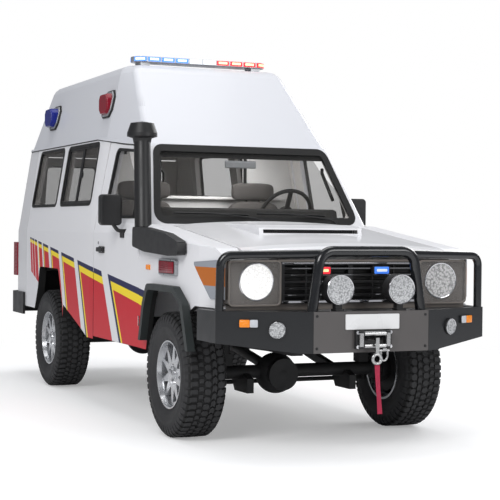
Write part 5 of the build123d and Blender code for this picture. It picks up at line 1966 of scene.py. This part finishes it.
@dataclass
class RearTrim:
    """Lamps, pulls, pressed ribs and the bare plate at the rear."""

    lamp: Limits = (0.704, 0.800, 0.852, 1.124)
    lamp_y: float = 3.998
    handle: Limits = (0.030, 0.130, 1.060, 1.120)
    plate: Limits = (0.090, 0.610, 0.770, 0.880)
    rib: Place = (0.540, 0.004, 0.003)
    rib_foot: Flat = (4.002, 0.5978)
    rib_step: float = 0.018
    crease_z: Flat = (0.94, 1.24)

    def place(self) -> None:
        """Set the rear trim."""
        for name, side in SIDES:
            x0, x1, z0, z1 = self.lamp
            third = (z1 - z0) / 3
            rows = (("stop", Kit.RED_LENS), ("turn", Kit.AMBER), ("reverse", Kit.PALE_LENS))
            for index, (label, finish) in enumerate(rows):
                low = z1 - third * (index + 1) + 0.004
                outline = [(side * u, v) for u, v in box_outline(x0, x1, low, low + third - 0.008, 0.010)]
                lay: Lay = lambda x, z, proud: spot(x, self.lamp_y + proud, z)
                finish_piece(f"tail_{label}_{name}", domed(lay, outline, 0.0, 0.006, 0.004), finish)
            body = f"back_door_{name}"
            x0, x1, z0, z1 = self.handle
            outline = [(side * u, v) for u, v in box_outline(x0, x1, z0, z1, 0.010)]
            finish_piece(f"back_pull_{name}", slab(rear_lay, outline, 0.0, 0.020), Kit.PLASTIC, body,
                         bevel=0.005)
            creases = Draft()
            for z in self.crease_z:
                crease = [(side * u, v) for u, v in box_outline(0.05, 0.60, z, z + 0.016, 0.006)]
                slab(rear_lay, crease, -0.001, 0.004, creases)
            finish_piece(f"back_ribs_{name}", creases, Kit.BODY, body, bevel=0.003)
        outline = [(-u, v) for u, v in box_outline(*self.plate, 0.008)]
        finish_piece("rear_plate", slab(rear_lay, outline, 0.0, 0.006), Kit.BLANK, "back_door_right")
        half, reach, top = self.rib
        corners = [(x * half, y * reach) for x, y in ((-1, -1), (1, -1), (1, 1), (-1, 1))]
        rib = Draft().strip([[Vector((x, y, z)) for x, y in corners] for z in (0.0, top)])
        start, along = spot(0, *self.rib_foot), Vector((0, self.rib_step, 0))
        finish_row("rear_step_ribs", rib, 4, start, along, Kit.PLASTIC)


@dataclass
class Cabin:
    """Padded seats and the parts of the dashboard."""

    seats: tuple[tuple[str, float, float], ...] = (("driver", 0.335, 0.164), ("passenger", -0.505, 0.192))

    def pillow(self, middle: Vector, half: Place, lean_deg: float = 0.0, channels: int = 0) -> Draft:
        """A crowned pad with pulled-in sides and sewn channels.

        Args:
            middle: its middle.
            half: its half sizes.
            lean_deg: how far it leans back.
            channels: how many sewn channels cross it.

        Returns:
            The draft.
        """
        draft = Draft()
        bmesh.ops.create_cube(draft.mesh, size=2.0)
        bmesh.ops.subdivide_edges(draft.mesh, edges=draft.mesh.edges, cuts=13, use_grid_fill=True)
        lean = Matrix.Rotation(radians(-lean_deg), 3, "X")
        for vert in draft.mesh.verts:
            x, y, z = vert.co
            flat = (abs(x) ** 5 + abs(y) ** 5 + abs(z) ** 5) ** 0.2
            largest = max(abs(x), abs(y), abs(z))
            point = vert.co * (largest / flat)
            crown = (1 - x * x) * (1 - (z * z if half[1] < half[2] else y * y))
            thin = 1 if half[1] < half[2] else 2
            point[thin] *= 0.86 + 0.14 * crown
            pull = 1 - 0.03 * (1 - point[thin] ** 2) * abs(x * z)
            if channels:
                along = z if thin == 1 else y
                if abs(point[thin]) > 0.5 and abs(x) < 0.72:
                    groove = max(0.0, 1 - abs(((along + 1) * channels / 2) % 1.0 - 0.5) * 9)
                    point[thin] *= 1 - 0.10 * groove
            if abs(abs(x) - 0.72) < 0.06:
                point[thin] *= 0.94
            vert.co = middle + lean @ Vector((point.x * half[0] * pull, point.y * half[1], point.z * half[2]))
        return draft

    def seat(self, name: str, x: float, rest: float) -> None:
        """One seat: plinth, cushion, back and head rest.

        Args:
            name: whose seat it is.
            x: its middle's place across the cabin.
            rest: half the width of its head rest.
        """
        pads = (
            # label, middle, half sizes, lean, channels
            ("cushion", (x, 1.222, 0.955), (0.222, 0.210, 0.055), 0.0, 4),
            ("back", (x, 1.400, 1.215), (0.212, 0.058, 0.252), 12.6, 4),
            ("head_rest", (x, 1.450, 1.536), (rest, 0.038, 0.063), 0.0, 0),
        )
        replaced = ("seats",) if name == "driver" else ()
        for label, middle, half, lean, channels in pads:
            draft = self.pillow(spot(*middle), half, lean, channels)
            piece = finish_piece(f"{name}_{label}", draft, Kit.CLOTH,
                                 replaces=replaced if label == "cushion" else ())
        base = Draft().box((x - 0.185, 1.040, 0.740), (x + 0.185, 1.400, 0.902))
        for reach in (-0.05, 0.05):
            base.tube([spot(x + reach, 1.448, 1.440), spot(x + reach, 1.448, 1.490)], 0.006)
        finish_piece(f"{name}_plinth", base, Kit.DARK_CABIN, bevel=0.006)

    def dash(self) -> None:
        """Vents, the partition's ledge and the frame of its opening."""
        vents = Draft()
        for x in (-0.56, -0.10, 0.08, 0.60):
            vents.box((x - 0.055, 0.872, 1.275), (x + 0.055, 0.884, 1.330))
        finish_piece("dash_vents", vents, Kit.PLASTIC, bevel=0.003)
        ledge = Draft().box((-0.640, 1.560, 1.478), (0.640, 1.600, 1.500))
        finish_piece("partition_ledge", ledge, Kit.LIGHT_CABIN, bevel=0.004)
        edge = box_outline(-0.325, 0.325, 1.505, 1.795, 0.02)
        frame_bar = rim(front_lay(1.600), edge, 0.022, 0.0, 0.010)
        finish_piece("pass_through_frame", frame_bar, Kit.PLASTIC)

    def place(self) -> None:
        """Set the cabin's pieces."""
        for name, x, rest in self.seats:
            self.seat(name, x, rest)
        self.dash()


def main() -> None:
    """Build every sub-assembly in order."""
    logging.basicConfig(level=logging.INFO, format="%(name)s: %(message)s")
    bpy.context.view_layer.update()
    Studio().set_up()
    Coats().dress()
    Tyres().place()
    for part in (Wheels, FrontLamps, Nose, BarFittings, Glazing, SideTrim, RoofLamps, RearTrim, Cabin):
        part().place()


if __name__ == "__main__":
    main()
